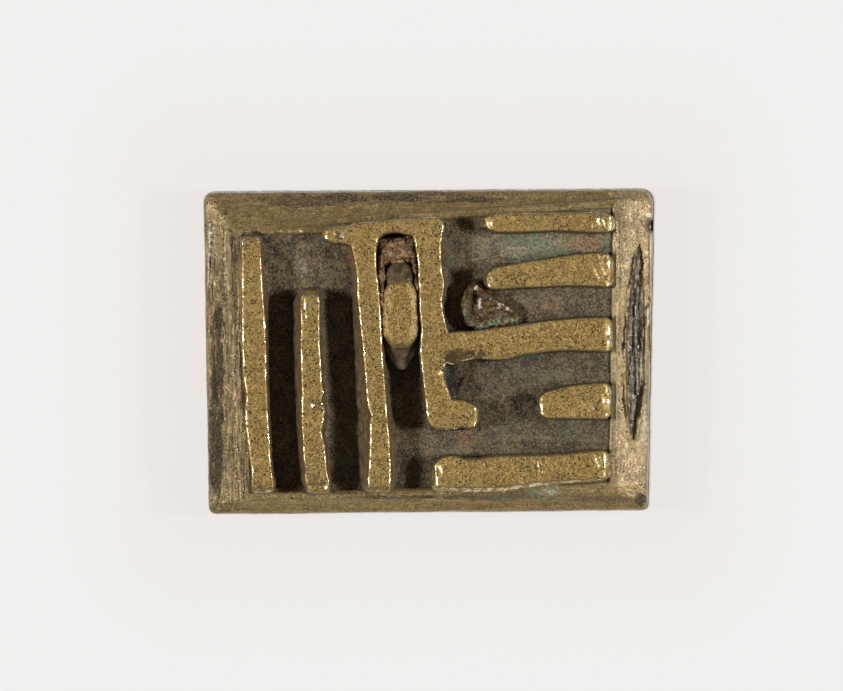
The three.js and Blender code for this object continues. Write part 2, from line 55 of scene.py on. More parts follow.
# Sizes in millimetres; every piece is made in millimetres and brought to metres at the end
MM = 0.001
LEDGE = 2.6  # the border strips lie on the slab from this height up
FIELD = 4.2  # the floor between the bars
CREST = 4.4  # the inner edge of the border
TOP = 6.05  # the tops of the bars
ROOT = 0.6  # how far a bar is sunk into the field
GROWN = 0.05  # what softening takes off a wall
WALL_SPREAD = 0.09
RIM_ROUND = 0.13
END_ROUND = 0.26
TOP_END_ROUND = 0.4  # how a bar's top falls at its ends
FINE_SKIN = 0.062
FIGURE_SKIN = 0.066
BORDER_SKIN = 0.085
SLAB_SKIN = 0.13
LINE_REACH = 0.06  # how far from a line its corners are picked
NEAR = 0.004  # places this close are the same
CLOSE = 0.001
SHARP_ANGLE = 50
LEAST_RISE = 0.2  # an upright edge rises more than this, and by more than the steep share of its length
STEEP_SHARE = 0.6
WALL_LIFT = 0.45  # a wall's normal points up less than this, and down less than the next
DOWNWARDS = -0.3

# The photo's own measure at the height of the bar tops
MIDDLE_COLUMN = 430
MIDDLE_ROW = 351
PIXELS_PER_MM = 17.5


def across(column):
    return (column - MIDDLE_COLUMN) / PIXELS_PER_MM


def up(row):
    return (MIDDLE_ROW - row) / PIXELS_PER_MM


# Modelling by hand

def put_down():
    if bpy.context.object and bpy.context.object.mode != "OBJECT":
        bpy.ops.object.mode_set(mode="OBJECT")
    bpy.ops.object.select_all(action="DESELECT")


def take(piece):
    put_down()
    piece.select_set(True)
    bpy.context.view_layer.objects.active = piece


def open_up(piece, kind="VERT"):
    take(piece)
    bpy.ops.object.mode_set(mode="EDIT")
    bpy.ops.mesh.select_mode(type=kind)


def settle(name):
    """The primitive just added becomes a piece whose place is in its mesh"""
    piece = bpy.context.object
    piece.name = name
    piece.data.name = name
    take(piece)
    bpy.ops.object.transform_apply(location=True, rotation=True, scale=True)
    return piece


def picked_none():
    mesh = bmesh.from_edit_mesh(bpy.context.object.data)
    for part in [*mesh.faces, *mesh.edges, *mesh.verts]:
        part.select = False
    return mesh


def pick_corners(wanted):
    mesh = picked_none()
    for corner in mesh.verts:
        corner.select = wanted(corner.co)
    mesh.select_flush(True)
    bmesh.update_edit_mesh(bpy.context.object.data)


def pick_edges(wanted):
    mesh = picked_none()
    for edge in mesh.edges:
        if wanted(edge):
            edge.select_set(True)
    bmesh.update_edit_mesh(bpy.context.object.data)


def cut_through(place, direction, **more):
    bpy.ops.mesh.select_all(action="SELECT")
    bpy.ops.mesh.bisect(plane_co=place, plane_no=direction, **more)


def on_axis(axis, distance):
    step = [0, 0, 0]
    step[axis] = distance
    return step


def shift(axis, distance):
    bpy.ops.transform.translate(value=on_axis(axis, distance))


def pull(step, reach):
    """Moves the picked corners and draws the skin round them along, less with distance"""
    bpy.ops.transform.translate(
        value=step, use_proportional_edit=True, proportional_edit_falloff="SMOOTH", proportional_size=reach,
    )


def off_line(start, end, spot):
    """How far a place lies from the straight line between two points, seen from above"""
    run = (end[0] - start[0], end[1] - start[1])
    share = ((spot.x - start[0]) * run[0] + (spot.y - start[1]) * run[1]) / (run[0] ** 2 + run[1] ** 2)
    share = min(max(share, 0), 1)
    return math.hypot(spot.x - start[0] - share * run[0], spot.y - start[1] - share * run[1])


def scribe(piece, stops, lift, reach, above):
    """Draws a ridge, or with a lift below 0 a groove, through stops: column and row of the photo"""
    open_up(piece)
    places = [(across(column), up(row)) for column, row in stops]
    for start, end in zip(places, places[1:]):
        pick_corners(lambda spot: spot.z > above and off_line(start, end, spot) < LINE_REACH)
        pull((0, 0, lift), reach)


def apply(piece, kind, name, **settings):
    modifier = piece.modifiers.new(name, kind)
    for setting, value in settings.items():
        setattr(modifier, setting, value)
    bpy.ops.object.modifier_apply(modifier=modifier.name)


def soften(piece, softness):
    apply(piece, "SMOOTH", "soft", factor=0.5, iterations=softness)


def one_skin(piece, grain, softness):
    """Melts the piece into one even skin and softens its edges, as wax and wear do"""
    take(piece)
    apply(piece, "REMESH", "skin", mode="VOXEL", voxel_size=grain)
    soften(piece, softness)


def uneven(piece, size, depth, direction="NORMAL", inside=None):
    """Hand-made unevenness of the given size and depth, everywhere or only at corners that lie inside"""
    take(piece)
    waves = bpy.data.textures.new(f"{piece.name}_waves", "CLOUDS")
    waves.noise_scale = size
    settings = {}
    if inside:
        rough = piece.vertex_groups.new(name="rough")
        rough.add([corner.index for corner in piece.data.vertices if inside(corner.co)], 1, "REPLACE")
        settings["vertex_group"] = rough.name
    apply(
        piece, "DISPLACE", "uneven", texture=waves, texture_coords="LOCAL",
        strength=depth, mid_level=0.5, direction=direction, **settings,
    )
    piece.vertex_groups.clear()


def streaked(piece, axis, size, depth, stretch=9):
    """Unevenness drawn out along an axis, as a tool or a finger leaves it"""
    factors = [1, 1, 1]
    for factor in (1 / stretch, stretch):
        factors[axis] = factor
        open_up(piece)
        bpy.ops.mesh.select_all(action="SELECT")
        bpy.ops.transform.resize(value=factors, center_override=(0, 0, 0))
        if factor < 1:
            uneven(piece, size, depth, "Z")


def join(name, pieces):
    put_down()
    for piece in pieces:
        piece.select_set(True)
    bpy.context.view_layer.objects.active = pieces[0]
    bpy.ops.object.join()
    pieces[0].name = name
    return pieces[0]


def to_metres(piece):
    take(piece)
    piece.scale = (MM, MM, MM)
    bpy.ops.object.transform_apply(location=False, rotation=False, scale=True)
    bpy.ops.object.shade_smooth_by_angle(angle=math.radians(SHARP_ANGLE))


def finished(piece, finishes, nodes):
    """Gives a piece its finishes and its place in the model, as the look of the given nodes"""
    to_metres(piece)
    piece.data.materials.clear()
    for finish in finishes:
        piece.data.materials.append(finish)
    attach(piece, "root")
    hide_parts(*nodes)


# A bar is cut from a block of wax: at each station its two walls are moved to their places

def wax_block(name, low, high):
    put_down()
    middle = [(a + b) / 2 for a, b in zip(low, high)]
    size = [b - a for a, b in zip(low, high)]
    bpy.ops.mesh.primitive_cube_add(size=1, location=middle, scale=size)
    return settle(name)


def bar(
    name, along, stations, top=TOP, foot=FIELD - ROOT, shoulder=0, drops=None, corner=END_ROUND,
    end_spreads=(WALL_SPREAD, WALL_SPREAD), end_rounds=(TOP_END_ROUND, TOP_END_ROUND),
):
    """
    Stations hold the place along the bar, the two walls, and how far each wall spreads towards its foot.
    Drops lower the top at some of these places.
    """
    side = 1 - along
    stations = sorted(stations)
    low = [-1, -1, foot]
    high = [1, 1, top]
    low[along] = stations[0][0]
    high[along] = stations[-1][0]
    piece = wax_block(name, low, high)
    open_up(piece)
    for station in stations[1:-1]:
        cut_through(on_axis(along, station[0]), on_axis(along, 1))
    if shoulder:
        cut_through((0, 0, top - shoulder), (0, 0, 1))
    spread_below = top - shoulder + NEAR if shoulder else foot + NEAR
    for place, low_wall, high_wall, low_spread, high_spread in stations:
        here = lambda spot: abs(spot[along] - place) < NEAR
        for wall, outwards in ((low_wall, -1), (high_wall, 1)):
            pick_corners(lambda spot: here(spot) and spot[side] == outwards)
            shift(side, wall + outwards * GROWN - outwards)
        middle = (low_wall + high_wall) / 2
        for spread, outwards in ((low_spread, -1), (high_spread, 1)):
            pick_corners(
                lambda spot: here(spot) and (spot[side] - middle) * outwards > 0 and spot[2] < spread_below
            )
            shift(side, outwards * spread)
    for place, drop in (drops or {}).items():
        pick_corners(lambda spot: abs(spot[along] - place) < NEAR and spot[2] > top - NEAR)
        shift(2, -drop)
    ends = (low[along], high[along])
    for end, outwards, spread in zip(ends, (-1, 1), end_spreads):
        pick_corners(lambda spot: abs(spot[along] - end) < NEAR and spot[2] < spread_below)
        shift(along, outwards * spread)
    bpy.ops.mesh.select_mode(type="EDGE")
    pick_edges(lambda edge: is_upright(edge) and any(
        abs(corner.co[along] - end) < NEAR for corner in edge.verts for end in ends
    ))
    bpy.ops.mesh.bevel(offset=corner, segments=4, clamp_overlap=True)
    bpy.ops.mesh.select_mode(type="VERT")
    for end, inwards, radius in zip(ends, (1, -1), end_rounds):
        round_end(along, end, inwards, radius, top)
    bpy.ops.mesh.select_mode(type="EDGE")
    pick_edges(on_rim)
    bpy.ops.mesh.bevel(offset=RIM_ROUND, segments=3, clamp_overlap=True)
    put_down()
    return piece


def round_end(along, end, inwards, radius, top):
    """Lets the top fall to the end of a bar in a quarter circle"""
    if not radius:
        return
    for turn in (22.5, 45, 67.5, 90):
        reach = radius * (1 - math.cos(math.radians(turn)))
        cut_through(on_axis(along, end + inwards * reach), on_axis(along, 1))
    mesh = bmesh.from_edit_mesh(bpy.context.object.data)
    reaches = set()
    for corner in mesh.verts:
        reach = (corner.co[along] - end) * inwards
        if corner.co.z > top - NEAR and reach < radius - NEAR:
            reaches.add(round(reach, 3))
    for reach in reaches:
        pick_corners(lambda spot: spot.z > top - NEAR and abs((spot[along] - end) * inwards - reach) < CLOSE)
        left = radius - max(reach, 0)
        shift(2, math.sqrt(radius * radius - left * left) - radius)


def is_upright(edge):
    rise = abs(edge.verts[0].co.z - edge.verts[1].co.z)
    return rise > LEAST_RISE and rise > STEEP_SHARE * edge.calc_length()


def on_rim(edge):
    """An edge between a bar's top and its wall"""
    lifts = [face.normal.z for face in edge.link_faces]
    return DOWNWARDS < min(lifts) < WALL_LIFT < max(lifts)


def row_drops(*drops):
    return {up(row): drop for row, drop in drops}


def column_drops(*drops):
    return {across(column): drop for column, drop in drops}


def spreads_of(given):
    return [*given, WALL_SPREAD, WALL_SPREAD][:2]


def standing(rows):
    """Stations of a bar that runs from back to front, by photo row, left wall and right wall"""
    return [
        (up(row), across(left), across(right), *spreads_of(spreads))
        for row, left, right, *spreads in rows
    ]


def lying(columns):
    """Stations of a bar that runs from left to right, by photo column, back wall and front wall"""
    return [
        (across(column), up(front), up(back), *spreads_of(spreads))
        for column, back, front, *spreads in columns
    ]


# The outlines of the bars, read from the photo; some give how far each wall spreads towards its foot

ALONG = 0
ACROSS = 1

outer_left_rows = [
    (238, 242.5, 259), (250, 242.5, 260), (270, 242.5, 261), (290, 242.5, 262), (310, 242.5, 263.5),
    (330, 243, 264.7), (350, 243, 265.2), (370, 243.5, 265.5), (385, 245.5, 265.6), (395, 247.5, 266.5),
    (408, 246.1, 267), (425, 246.5, 268), (445, 249, 269), (460, 251, 269.7), (472, 252.5, 271),
    (484, 252.3, 273.3), (493, 253.5, 271.5),
]
inner_left_rows = [
    (290, 306, 314, 0.3, 0.15), (293, 303.8, 316.6, 0.4, 0.15), (297, 302.4, 318, 0.5, 0.15),
    (304, 301.5, 318.8, 0.6, 0.15),
    (320, 302, 318.5, 0.63, 0.15), (345, 301.5, 319, 0.63, 0.15), (365, 302, 320.3, 0.6, 0.15),
    (385, 302.5, 321, 0.6, 0.15), (393, 303, 323.3, 0.55, 0.15), (400, 302.5, 320.2, 0.55, 0.15),
    (409, 302.5, 324, 0.5, 0.15), (422, 302.5, 322.6, 0.5, 0.15), (432, 303, 320.3, 0.5, 0.15),
    (446, 303.8, 324, 0.45, 0.15), (460, 304.5, 325, 0.45, 0.15), (470, 306, 326, 0.4, 0.15),
    (480, 306, 328.4, 0.4, 0.15), (493.5, 309.5, 327.6, 0.2, 0.15),
]
left_post_rows = [
    (224, 352, 376), (240, 351.5, 377), (248, 352.3, 375.4, 0.3, 0.1), (257, 355, 375, 0.35, 0.1),
    (270, 357, 375.5, 0.38, 0.1), (285, 358, 377.7, 0.4, 0.1), (300, 358.5, 379, 0.42, 0.12),
    (315, 360, 380, 0.45, 0.15), (335, 362, 380.8, 0.55, 0.2), (350, 364, 381.5, 0.6, 0.22),
    (365, 365, 382.7, 0.65, 0.25), (380, 366.5, 384, 0.7, 0.25), (398, 367.5, 385.4, 0.75, 0.25),
    (408, 369.6, 386, 0.85, 0.3), (416, 372.6, 386.3, 0.95, 0.35), (424, 371, 387, 0.9, 0.45),
    (435, 371, 388.5, 0.85, 0.5), (450, 370.5, 389, 0.8, 0.55), (465, 370, 390, 0.75, 0.55),
    (480, 368.5, 389.7, 0.6, 0.5), (492.5, 369.5, 388.7, 0.4, 0.3),
]
right_post_rows = [
    (221, 411, 442), (234, 413.5, 441.5), (245, 416, 440.3), (258, 418, 440.3), (272, 419, 441.5),
    (281, 419.3, 443.6), (290, 419.6, 443), (300, 420, 441.3), (310, 420.3, 442), (320, 421, 444),
    (328, 422, 446.3), (342, 421.3, 447.5), (352, 420.4, 445), (362, 421.5, 445.6), (374, 423, 442.5),
    (386, 424.3, 446), (398, 425.8, 450), (410, 427, 453), (420, 428, 453), (426, 432, 452),
    (429.5, 438, 448),
]
post_foot_columns = [
    (438, 403, 428.5), (452, 400.3, 429), (462, 400.6, 426.6), (469, 403.5, 428.4), (475, 407, 426),
    (479, 411, 421.5),
]
cross_arm_columns = [
    (440, 334, 352), (449, 333.5, 364), (455, 333, 364), (461, 332.6, 361), (470, 332.5, 359),
    (480, 331, 357.6), (495, 329, 359.2), (505, 327.8, 359.3), (513, 326.5, 357), (522, 325.2, 354.2),
    (540, 322.7, 351.8), (555, 321, 350.5), (570, 319.5, 350), (590, 318.5, 350.3), (605, 318.2, 351),
    (612.5, 322, 349),
]
lintel_columns = [
    (338, 232, 240.5), (345, 228, 243.5), (354, 224.7, 246), (365, 223.3, 242), (379, 222, 237),
    (384, 221.8, 232.8), (392, 221.4, 231.6), (400, 220.5, 232), (408, 219.7, 234), (413, 219, 235),
    (422, 218.4, 237), (434, 218, 238), (440, 219.5, 236), (444, 223.5, 231),
]
spur_columns = [
    (322, 232.5, 237), (327, 230.5, 239.8, 0.1, 0.5), (333, 229.5, 242.2, 0.1, 0.5),
    (340, 228.5, 242.8, 0.1, 0.4), (350, 226, 243.5),
]
top_rung_columns = [
    (483.5, 221.3, 224.2, 0.3, 0.3), (486.5, 218.7, 227), (490, 216.8, 229.3), (497, 215, 231.5),
    (515, 214.3, 231.7), (540, 214, 230.5), (555, 213.8, 230), (570, 213.7, 230.3), (590, 213.5, 231.5),
    (603, 214, 231.5), (611, 216.5, 230), (615.5, 220, 227),
]
second_rung_columns = [
    (485.5, 277, 284), (489, 273, 287.3), (496, 268.7, 288.7), (505, 266.5, 288), (520, 263.5, 287),
    (540, 260.5, 286.4), (560, 257.5, 285.2), (575, 255.2, 285), (590, 254, 285.3), (600, 253.5, 286),
    (607, 254.7, 286.3), (613.5, 260, 283.5),
]
short_rung_columns = [
    (538.5, 401, 409), (540.5, 397, 413.5), (545, 393.5, 417.3), (552, 391, 418), (560, 388.7, 417.8),
    (575, 386, 418.5), (590, 384.7, 418.3), (605, 383.7, 418.3), (611.5, 388, 414),
]
bottom_rung_columns = [
    (433.5, 467, 484, 0.2), (437, 463.5, 486.8, 0.22), (444, 458, 486.3, 0.24), (452, 456.8, 486.6, 0.24),
    (459, 457.6, 487, 0.24), (462.5, 460.3, 487.2, 0.24), (480, 460.2, 487.3, 0.24), (490, 457.6, 487, 0.24),
    (505, 457, 486, 0.24), (520, 456.7, 484, 0.24), (535, 456.6, 482, 0.22), (550, 456.3, 481, 0.2),
    (570, 455, 480, 0.16), (582, 453.5, 479.3, 0.14), (600, 451.7, 478.3, 0.12), (605, 453, 477.5, 0.1),
    (609, 457.5, 474.5, 0.1),
]
# The flat of the almond, the keel that runs from its tip and the arch behind it
almond_rows = [
    (281, 396.5, 404.5, 0.2, 0.2), (284, 393, 407.4, 0.25, 0.25), (290, 390, 409.5, 0.32, 0.32),
    (300, 387.8, 410.6, 0.3, 0.35), (310, 387, 411.3, 0.25, 0.3), (320, 387.2, 411.7, 0.25, 0.3),
    (330, 388.4, 411.2, 0.3, 0.35), (336, 390.5, 409.4, 0.35, 0.4), (341, 394.2, 406.2, 0.35, 0.4),
    (345.5, 398.6, 402.4, 0.3, 0.3),
]
keel_rows = [
    (330, 387.5, 412.5, 0.3, 0.3), (337, 387, 412.8, 0.35, 0.35), (344, 389.5, 411, 0.4, 0.4),
    (352, 393.5, 408, 0.4, 0.4), (360, 397.3, 404.7, 0.35, 0.35), (368, 400.4, 402, 0.15, 0.15),
]
arch_rows = [
    (262, 394, 406, 0.15, 0.1), (267, 389.5, 409.5, 0.2, 0.1), (274, 387.6, 411, 0.25, 0.1),
    (286, 388, 411, 0.25, 0.1),
]


# Finishes read the object's own coordinates, in millimetres

PATCH_RIM = 1.35  # a patch thins out to this share of its half sizes
PATCH_HAZE = 0.1
FINE = 0.07  # size of the finest grain
GRAIN = 0.12
CRUST_GRAIN = 0.13


class Nodes:
    """A material, the nodes that it is made of, and what they do with each other"""

    def __init__(self, name):
        self.material = bpy.data.materials.new(name)
        self.material.use_nodes = True
        self.tree = self.material.node_tree
        self.tree.nodes.clear()
        self.surface = self.node("ShaderNodeOutputMaterial").inputs["Surface"]
        self.source = self.node("ShaderNodeTexCoord").outputs["Object"]

    def node(self, kind, **settings):
        made = self.tree.nodes.new(kind)
        for setting, value in settings.items():
            setattr(made, setting, value)
        return made

    def link(self, socket, value):
        if isinstance(value, bpy.types.NodeSocket):
            self.tree.links.new(value, socket)
        elif isinstance(value, tuple) and len(value) == 3 and socket.type == "RGBA":
            socket.default_value = (*value, 1)
        else:
            socket.default_value = value

    def made(self, node, inputs, output=0):
        """Links values to inputs of a node, by number or name, and gives back its output"""
        for key, value in inputs.items():
            self.link(node.inputs[key], value)
        return node.outputs[output]

    def ramp(self, value, start, stop, low=0, high=1):
        span = self.node("ShaderNodeMapRange", interpolation_type="SMOOTHSTEP")
        return self.made(span, dict(enumerate((value, start, stop, low, high))))

    def maths(self, kind, first, second):
        return self.made(self.node("ShaderNodeMath", operation=kind), {0: first, 1: second})

    def vector(self, kind, inputs, output=0):
        return self.made(self.node("ShaderNodeVectorMath", operation=kind), inputs, output)

    def colour(self, share, first, second, blend="MIX"):
        mix = self.node("ShaderNodeMix", data_type="RGBA", blend_type=blend)
        return self.made(mix, {0: share, 6: first, 7: second}, 2)


class Finish(Nodes):
    """A finish of the metal"""

    def __init__(self, name):
        super().__init__(name)
        self.shader = self.node("ShaderNodeBsdfPrincipled")
        self.link(self.surface, self.shader.outputs["BSDF"])
        self.place = self.scaled(self.source, (1 / MM, 1 / MM, 1 / MM))
        split = self.node("ShaderNodeSeparateXYZ")
        self.link(split.inputs[0], self.place)
        self.x, self.y, self.z = split.outputs
        facing = self.node("ShaderNodeSeparateXYZ")
        self.link(facing.inputs[0], self.node("ShaderNodeNewGeometry").outputs["Normal"])
        self.facing_up = facing.outputs[2]
        self.specks = None

    def scaled(self, vector, scale):
        return self.made(self.node("ShaderNodeMapping"), {"Vector": vector, "Scale": scale})

    def noise(self, size, detail=2, stretch=(1, 1, 1), roughness=0.5, output=0):
        scale = tuple(1 / (size * share) for share in stretch)
        return self.made(self.node("ShaderNodeTexNoise"), {
            "Vector": self.scaled(self.place, scale), "Scale": 1, "Detail": detail, "Roughness": roughness,
        }, output)

    def cells(self, size):
        place = self.scaled(self.place, (1 / size, 1 / size, 1 / size))
        return self.made(self.node("ShaderNodeTexVoronoi"), {"Vector": place, "Scale": 1}, "Distance")

    def times(self, first, *others):
        for other in others:
            first = self.maths("MULTIPLY", first, other)
        return first

    def plus(self, first, *others):
        for other in others:
            first = self.maths("ADD", first, other)
        return first

    def heaped(self, *shares):
        """The sum of some patterns, each with its weight"""
        return self.plus(*(self.times(pattern, weight) for pattern, weight in shares))

    def most(self, first, *others):
        for other in others:
            first = self.maths("MAXIMUM", first, other)
        return first

    def without(self, first, other):
        return self.times(first, self.maths("SUBTRACT", 1, other))

    def amount(self, share, first, second):
        return self.made(self.node("ShaderNodeMix", data_type="FLOAT"), {0: share, 2: first, 3: second})

    def shaded(self, colour, strength):
        return self.vector("SCALE", {0: colour, "Scale": strength})

    def layered(self, colour, *layers):
        """Lays tints over a colour, each where a pattern rises or falls through a span"""
        for pattern, start, stop, low, high, tint in layers:
            colour = self.colour(self.ramp(pattern, start, stop, low, high), colour, tint)
        return colour

    def grained(self, colour, share, size=0.1):
        """Gives every grain of the metal a slightly different tint"""
        tint = self.shaded(self.noise(size, 2, roughness=0.7, output=1), 2)
        return self.colour(share, colour, tint, "MULTIPLY")

    def spot(self, column, row, wide, tall, soft=0.5):
        """Share that is 1 round a place of the field and falls to 0 at the given half sizes"""
        squares = []
        for place, middle, half in ((self.x, across(column), wide), (self.y, up(row), tall)):
            away = self.maths("DIVIDE", self.maths("SUBTRACT", place, middle), half)
            squares.append(self.maths("POWER", away, 2))
        return self.ramp(self.plus(*squares), 1, soft * soft)

    def patch(self, column, row, wide, tall, most=1, cover=0.09):
        """A thin haze of the given half sizes with ragged specks in it that thin out towards its rim"""
        spot = self.spot(column, row, wide * PATCH_RIM, tall * PATCH_RIM, 0.1)
        if not self.specks:
            self.specks = self.noise(0.2, 2, roughness=0.75)
        specks = self.ramp(self.plus(self.specks, self.times(spot, cover)), 0.6, 0.66, 0, most)
        inside = self.ramp(spot, 0.02, 0.2)
        return self.most(self.times(specks, inside), self.times(spot, PATCH_HAZE * most))

    def patched(self, colour, patches, within=1):
        """Lays patches over a colour, and gives back the colour and the share that they cover"""
        covered = 0
        for column, row, wide, tall, tint, *how in patches:
            share = self.times(self.patch(column, row, wide, tall, *how), within)
            covered = self.most(covered, share)
            colour = self.colour(share, colour, tint)
        return colour, covered

    def relief(self, height, depth):
        bump = self.node("ShaderNodeBump")
        bumpy = self.made(bump, {"Distance": depth * MM, "Height": height}, "Normal")
        self.link(self.shader.inputs["Normal"], bumpy)
        self.link(self.shader.inputs["Coat Normal"], bumpy)

    def matt(self, share):
        self.link(self.shader.inputs["Specular IOR Level"], self.amount(share, 0.5, 0.12))

    def glaze(self, share, roughness):
        """A thin film of age and handling that shines white at a glancing angle"""
        self.link(self.shader.inputs["Coat Weight"], share)
        self.link(self.shader.inputs["Coat Roughness"], roughness)

    def finish(self, colour, roughness, metal):
        for name, value in (("Base Color", colour), ("Roughness", roughness), ("Metallic", metal)):
            self.link(self.shader.inputs[name], value)
        return self.material


GOLD = (0.5, 0.35, 0.13)
BROWN = (0.06, 0.037, 0.015)
# Tint of painted highlights
PAINTED_HIGHLIGHT = (0.95, 0.85, 0.66)
SHADE = (0.028, 0.02, 0.012)
PATINA = (0.085, 0.063, 0.036)
PIT = (0.06, 0.042, 0.024)
GREEN = (0.22, 0.26, 0.14)
TEAL = (0.12, 0.21, 0.13)
PALE_GREEN = (0.36, 0.4, 0.3)
COPPER = (0.34, 0.17, 0.075)
RUST = (0.17, 0.035, 0.025)
BLUE_BLACK = (0.03, 0.031, 0.034)
SIDE_ROUGHNESS = 0.28
SIDE_GLAZE = 0.1

# Patches: column and row of the photo, half width and half height in millimetres, tint,
# the largest share of the tint, and for some of them how closely the specks lie
top_patches = [
    (459, 356, 0.9, 0.42, BROWN, 0.85, 0.35), (478, 355, 0.7, 0.25, BROWN, 0.8, 0.25),
    (452, 360, 0.4, 0.4, BROWN, 0.85, 0.35), (484, 357, 0.5, 0.2, BROWN, 0.7),
    (399, 272, 0.75, 0.62, (0.05, 0.034, 0.015), 0.85, 0.3),
    (400, 356, 0.85, 0.7, (0.05, 0.036, 0.016), 0.8, 0.3), (314, 481, 0.45, 0.6, (0.13, 0.095, 0.06), 0.8),
    (308, 474, 0.4, 0.5, (0.06, 0.045, 0.03), 0.9), (472, 383, 0.5, 0.6, (0.16, 0.11, 0.075), 0.5),
    (404, 228, 0.6, 0.3, (0.45, 0.25, 0.1), 0.4), (537, 466, 0.25, 0.2, (0.09, 0.065, 0.045), 0.9),
    (556, 474, 0.2, 0.15, (0.09, 0.065, 0.045), 0.9), (420, 232, 0.5, 0.3, (0.45, 0.25, 0.1), 0.4),
    (540, 225, 0.8, 0.3, (0.16, 0.11, 0.07), 0.5),
]
wall_patches = [
    (381, 300, 0.35, 3.2, COPPER, 0.9), (417, 292, 0.3, 1.9, COPPER, 0.8),
    (384, 262, 0.5, 1.2, COPPER, 0.7), (420, 418, 0.3, 0.7, COPPER, 0.9),
    (386, 410, 0.25, 0.8, COPPER, 0.6), (452, 380, 0.3, 0.9, BLUE_BLACK, 0.9),
    (349, 262, 0.3, 0.7, COPPER, 0.6), (548, 389, 1, 0.3, BLUE_BLACK, 0.8), (530, 356, 1.4, 0.3, TEAL, 0.8),
]
field_patches = [
    (531, 247, 1.9, 0.9, GREEN, 0.9), (535, 248, 1.8, 0.8, PALE_GREEN, 0.9, 0.05),
    (520, 240, 1.2, 0.3, TEAL, 0.8), (545, 254, 1.2, 0.35, TEAL, 0.8), (608, 245, 0.4, 0.6, TEAL, 0.8),
    (563, 249, 0.3, 0.25, TEAL, 1), (586, 243, 0.9, 0.5, (0.36, 0.2, 0.1), 0.9, 0.12),
    (524, 356, 1.3, 0.3, TEAL, 0.9), (572, 434, 0.6, 0.45, TEAL, 1), (580, 437, 0.15, 0.2, RUST, 1),
    (496, 439, 0.4, 0.35, BLUE_BLACK, 0.8), (450, 255, 0.4, 0.9, TEAL, 0.7),
    (446, 252, 0.2, 0.5, COPPER, 0.7), (548, 306, 0.3, 0.2, COPPER, 0.9, 0.14),
    (558, 306, 0.2, 0.2, COPPER, 0.9, 0.14), (468, 439, 0.6, 0.5, (0.33, 0.16, 0.06), 0.9),
    (448, 452, 0.8, 0.3, TEAL, 0.6), (418, 418, 0.3, 0.7, COPPER, 0.9), (387, 412, 0.3, 0.8, COPPER, 0.7),
    (345, 470, 0.7, 1, TEAL, 0.5), (349, 255, 0.25, 0.6, COPPER, 0.7),
    (300, 236, 1.5, 0.25, (0.06, 0.035, 0.025), 0.9), (453, 380, 0.4, 0.9, BLUE_BLACK, 0.9, 0.2),
    # (462, 385) and (520, 400) are painted shade: beside the right post's foot and left of the short rung's
    # end
    (462, 385, 0.6, 0.6, (0.03, 0.022, 0.016), 0.9), (468, 378, 0.8, 0.5, (0.25, 0.14, 0.07), 0.5),
    (520, 400, 1, 0.4, (0.035, 0.025, 0.018), 0.9, 0.15), (500, 427, 0.6, 0.25, PALE_GREEN, 0.5),
    # (330, 258) and the next patch, (285, 250), are painted shade on the field behind the inner left bar
    (540, 375, 1.5, 0.3, TEAL, 0.4), (330, 258, 1, 1.3, (0.045, 0.032, 0.02), 0.7, 0.02),
    (285, 250, 0.6, 0.8, (0.03, 0.022, 0.014), 0.6, 0.05),
    # (302, 265) is a painted highlight on the head lump; the SHADE patches are painted shade along the foot
    # of the rungs, the cross arm and the right post
    (302, 265, 0.2, 0.6, (0.6, 0.56, 0.5), 0.5, 0.03), (545, 362, 3.6, 0.3, SHADE, 0.7),
    (540, 446, 3.6, 0.3, SHADE, 0.6), (545, 293, 3, 0.22, SHADE, 0.6), (570, 316, 2.4, 0.3, SHADE, 0.6),
    (480, 375, 1.6, 1, SHADE, 0.6), (560, 425, 3, 0.3, SHADE, 0.5),
    (485, 245, 0.9, 0.5, (0.25, 0.2, 0.14), 0.6),
]


def pitted(f, size, spread, least, most):
    """Pits the size of a cell at most, closer and larger in some places than in others"""
    reach = f.ramp(f.noise(spread, 1), 0.38, 0.62, least, most)
    return f.without(1, f.ramp(f.maths("SUBTRACT", f.cells(size), reach), -0.03, 0.08))


def lighter(tint, times):
    return tuple(times * share for share in tint)


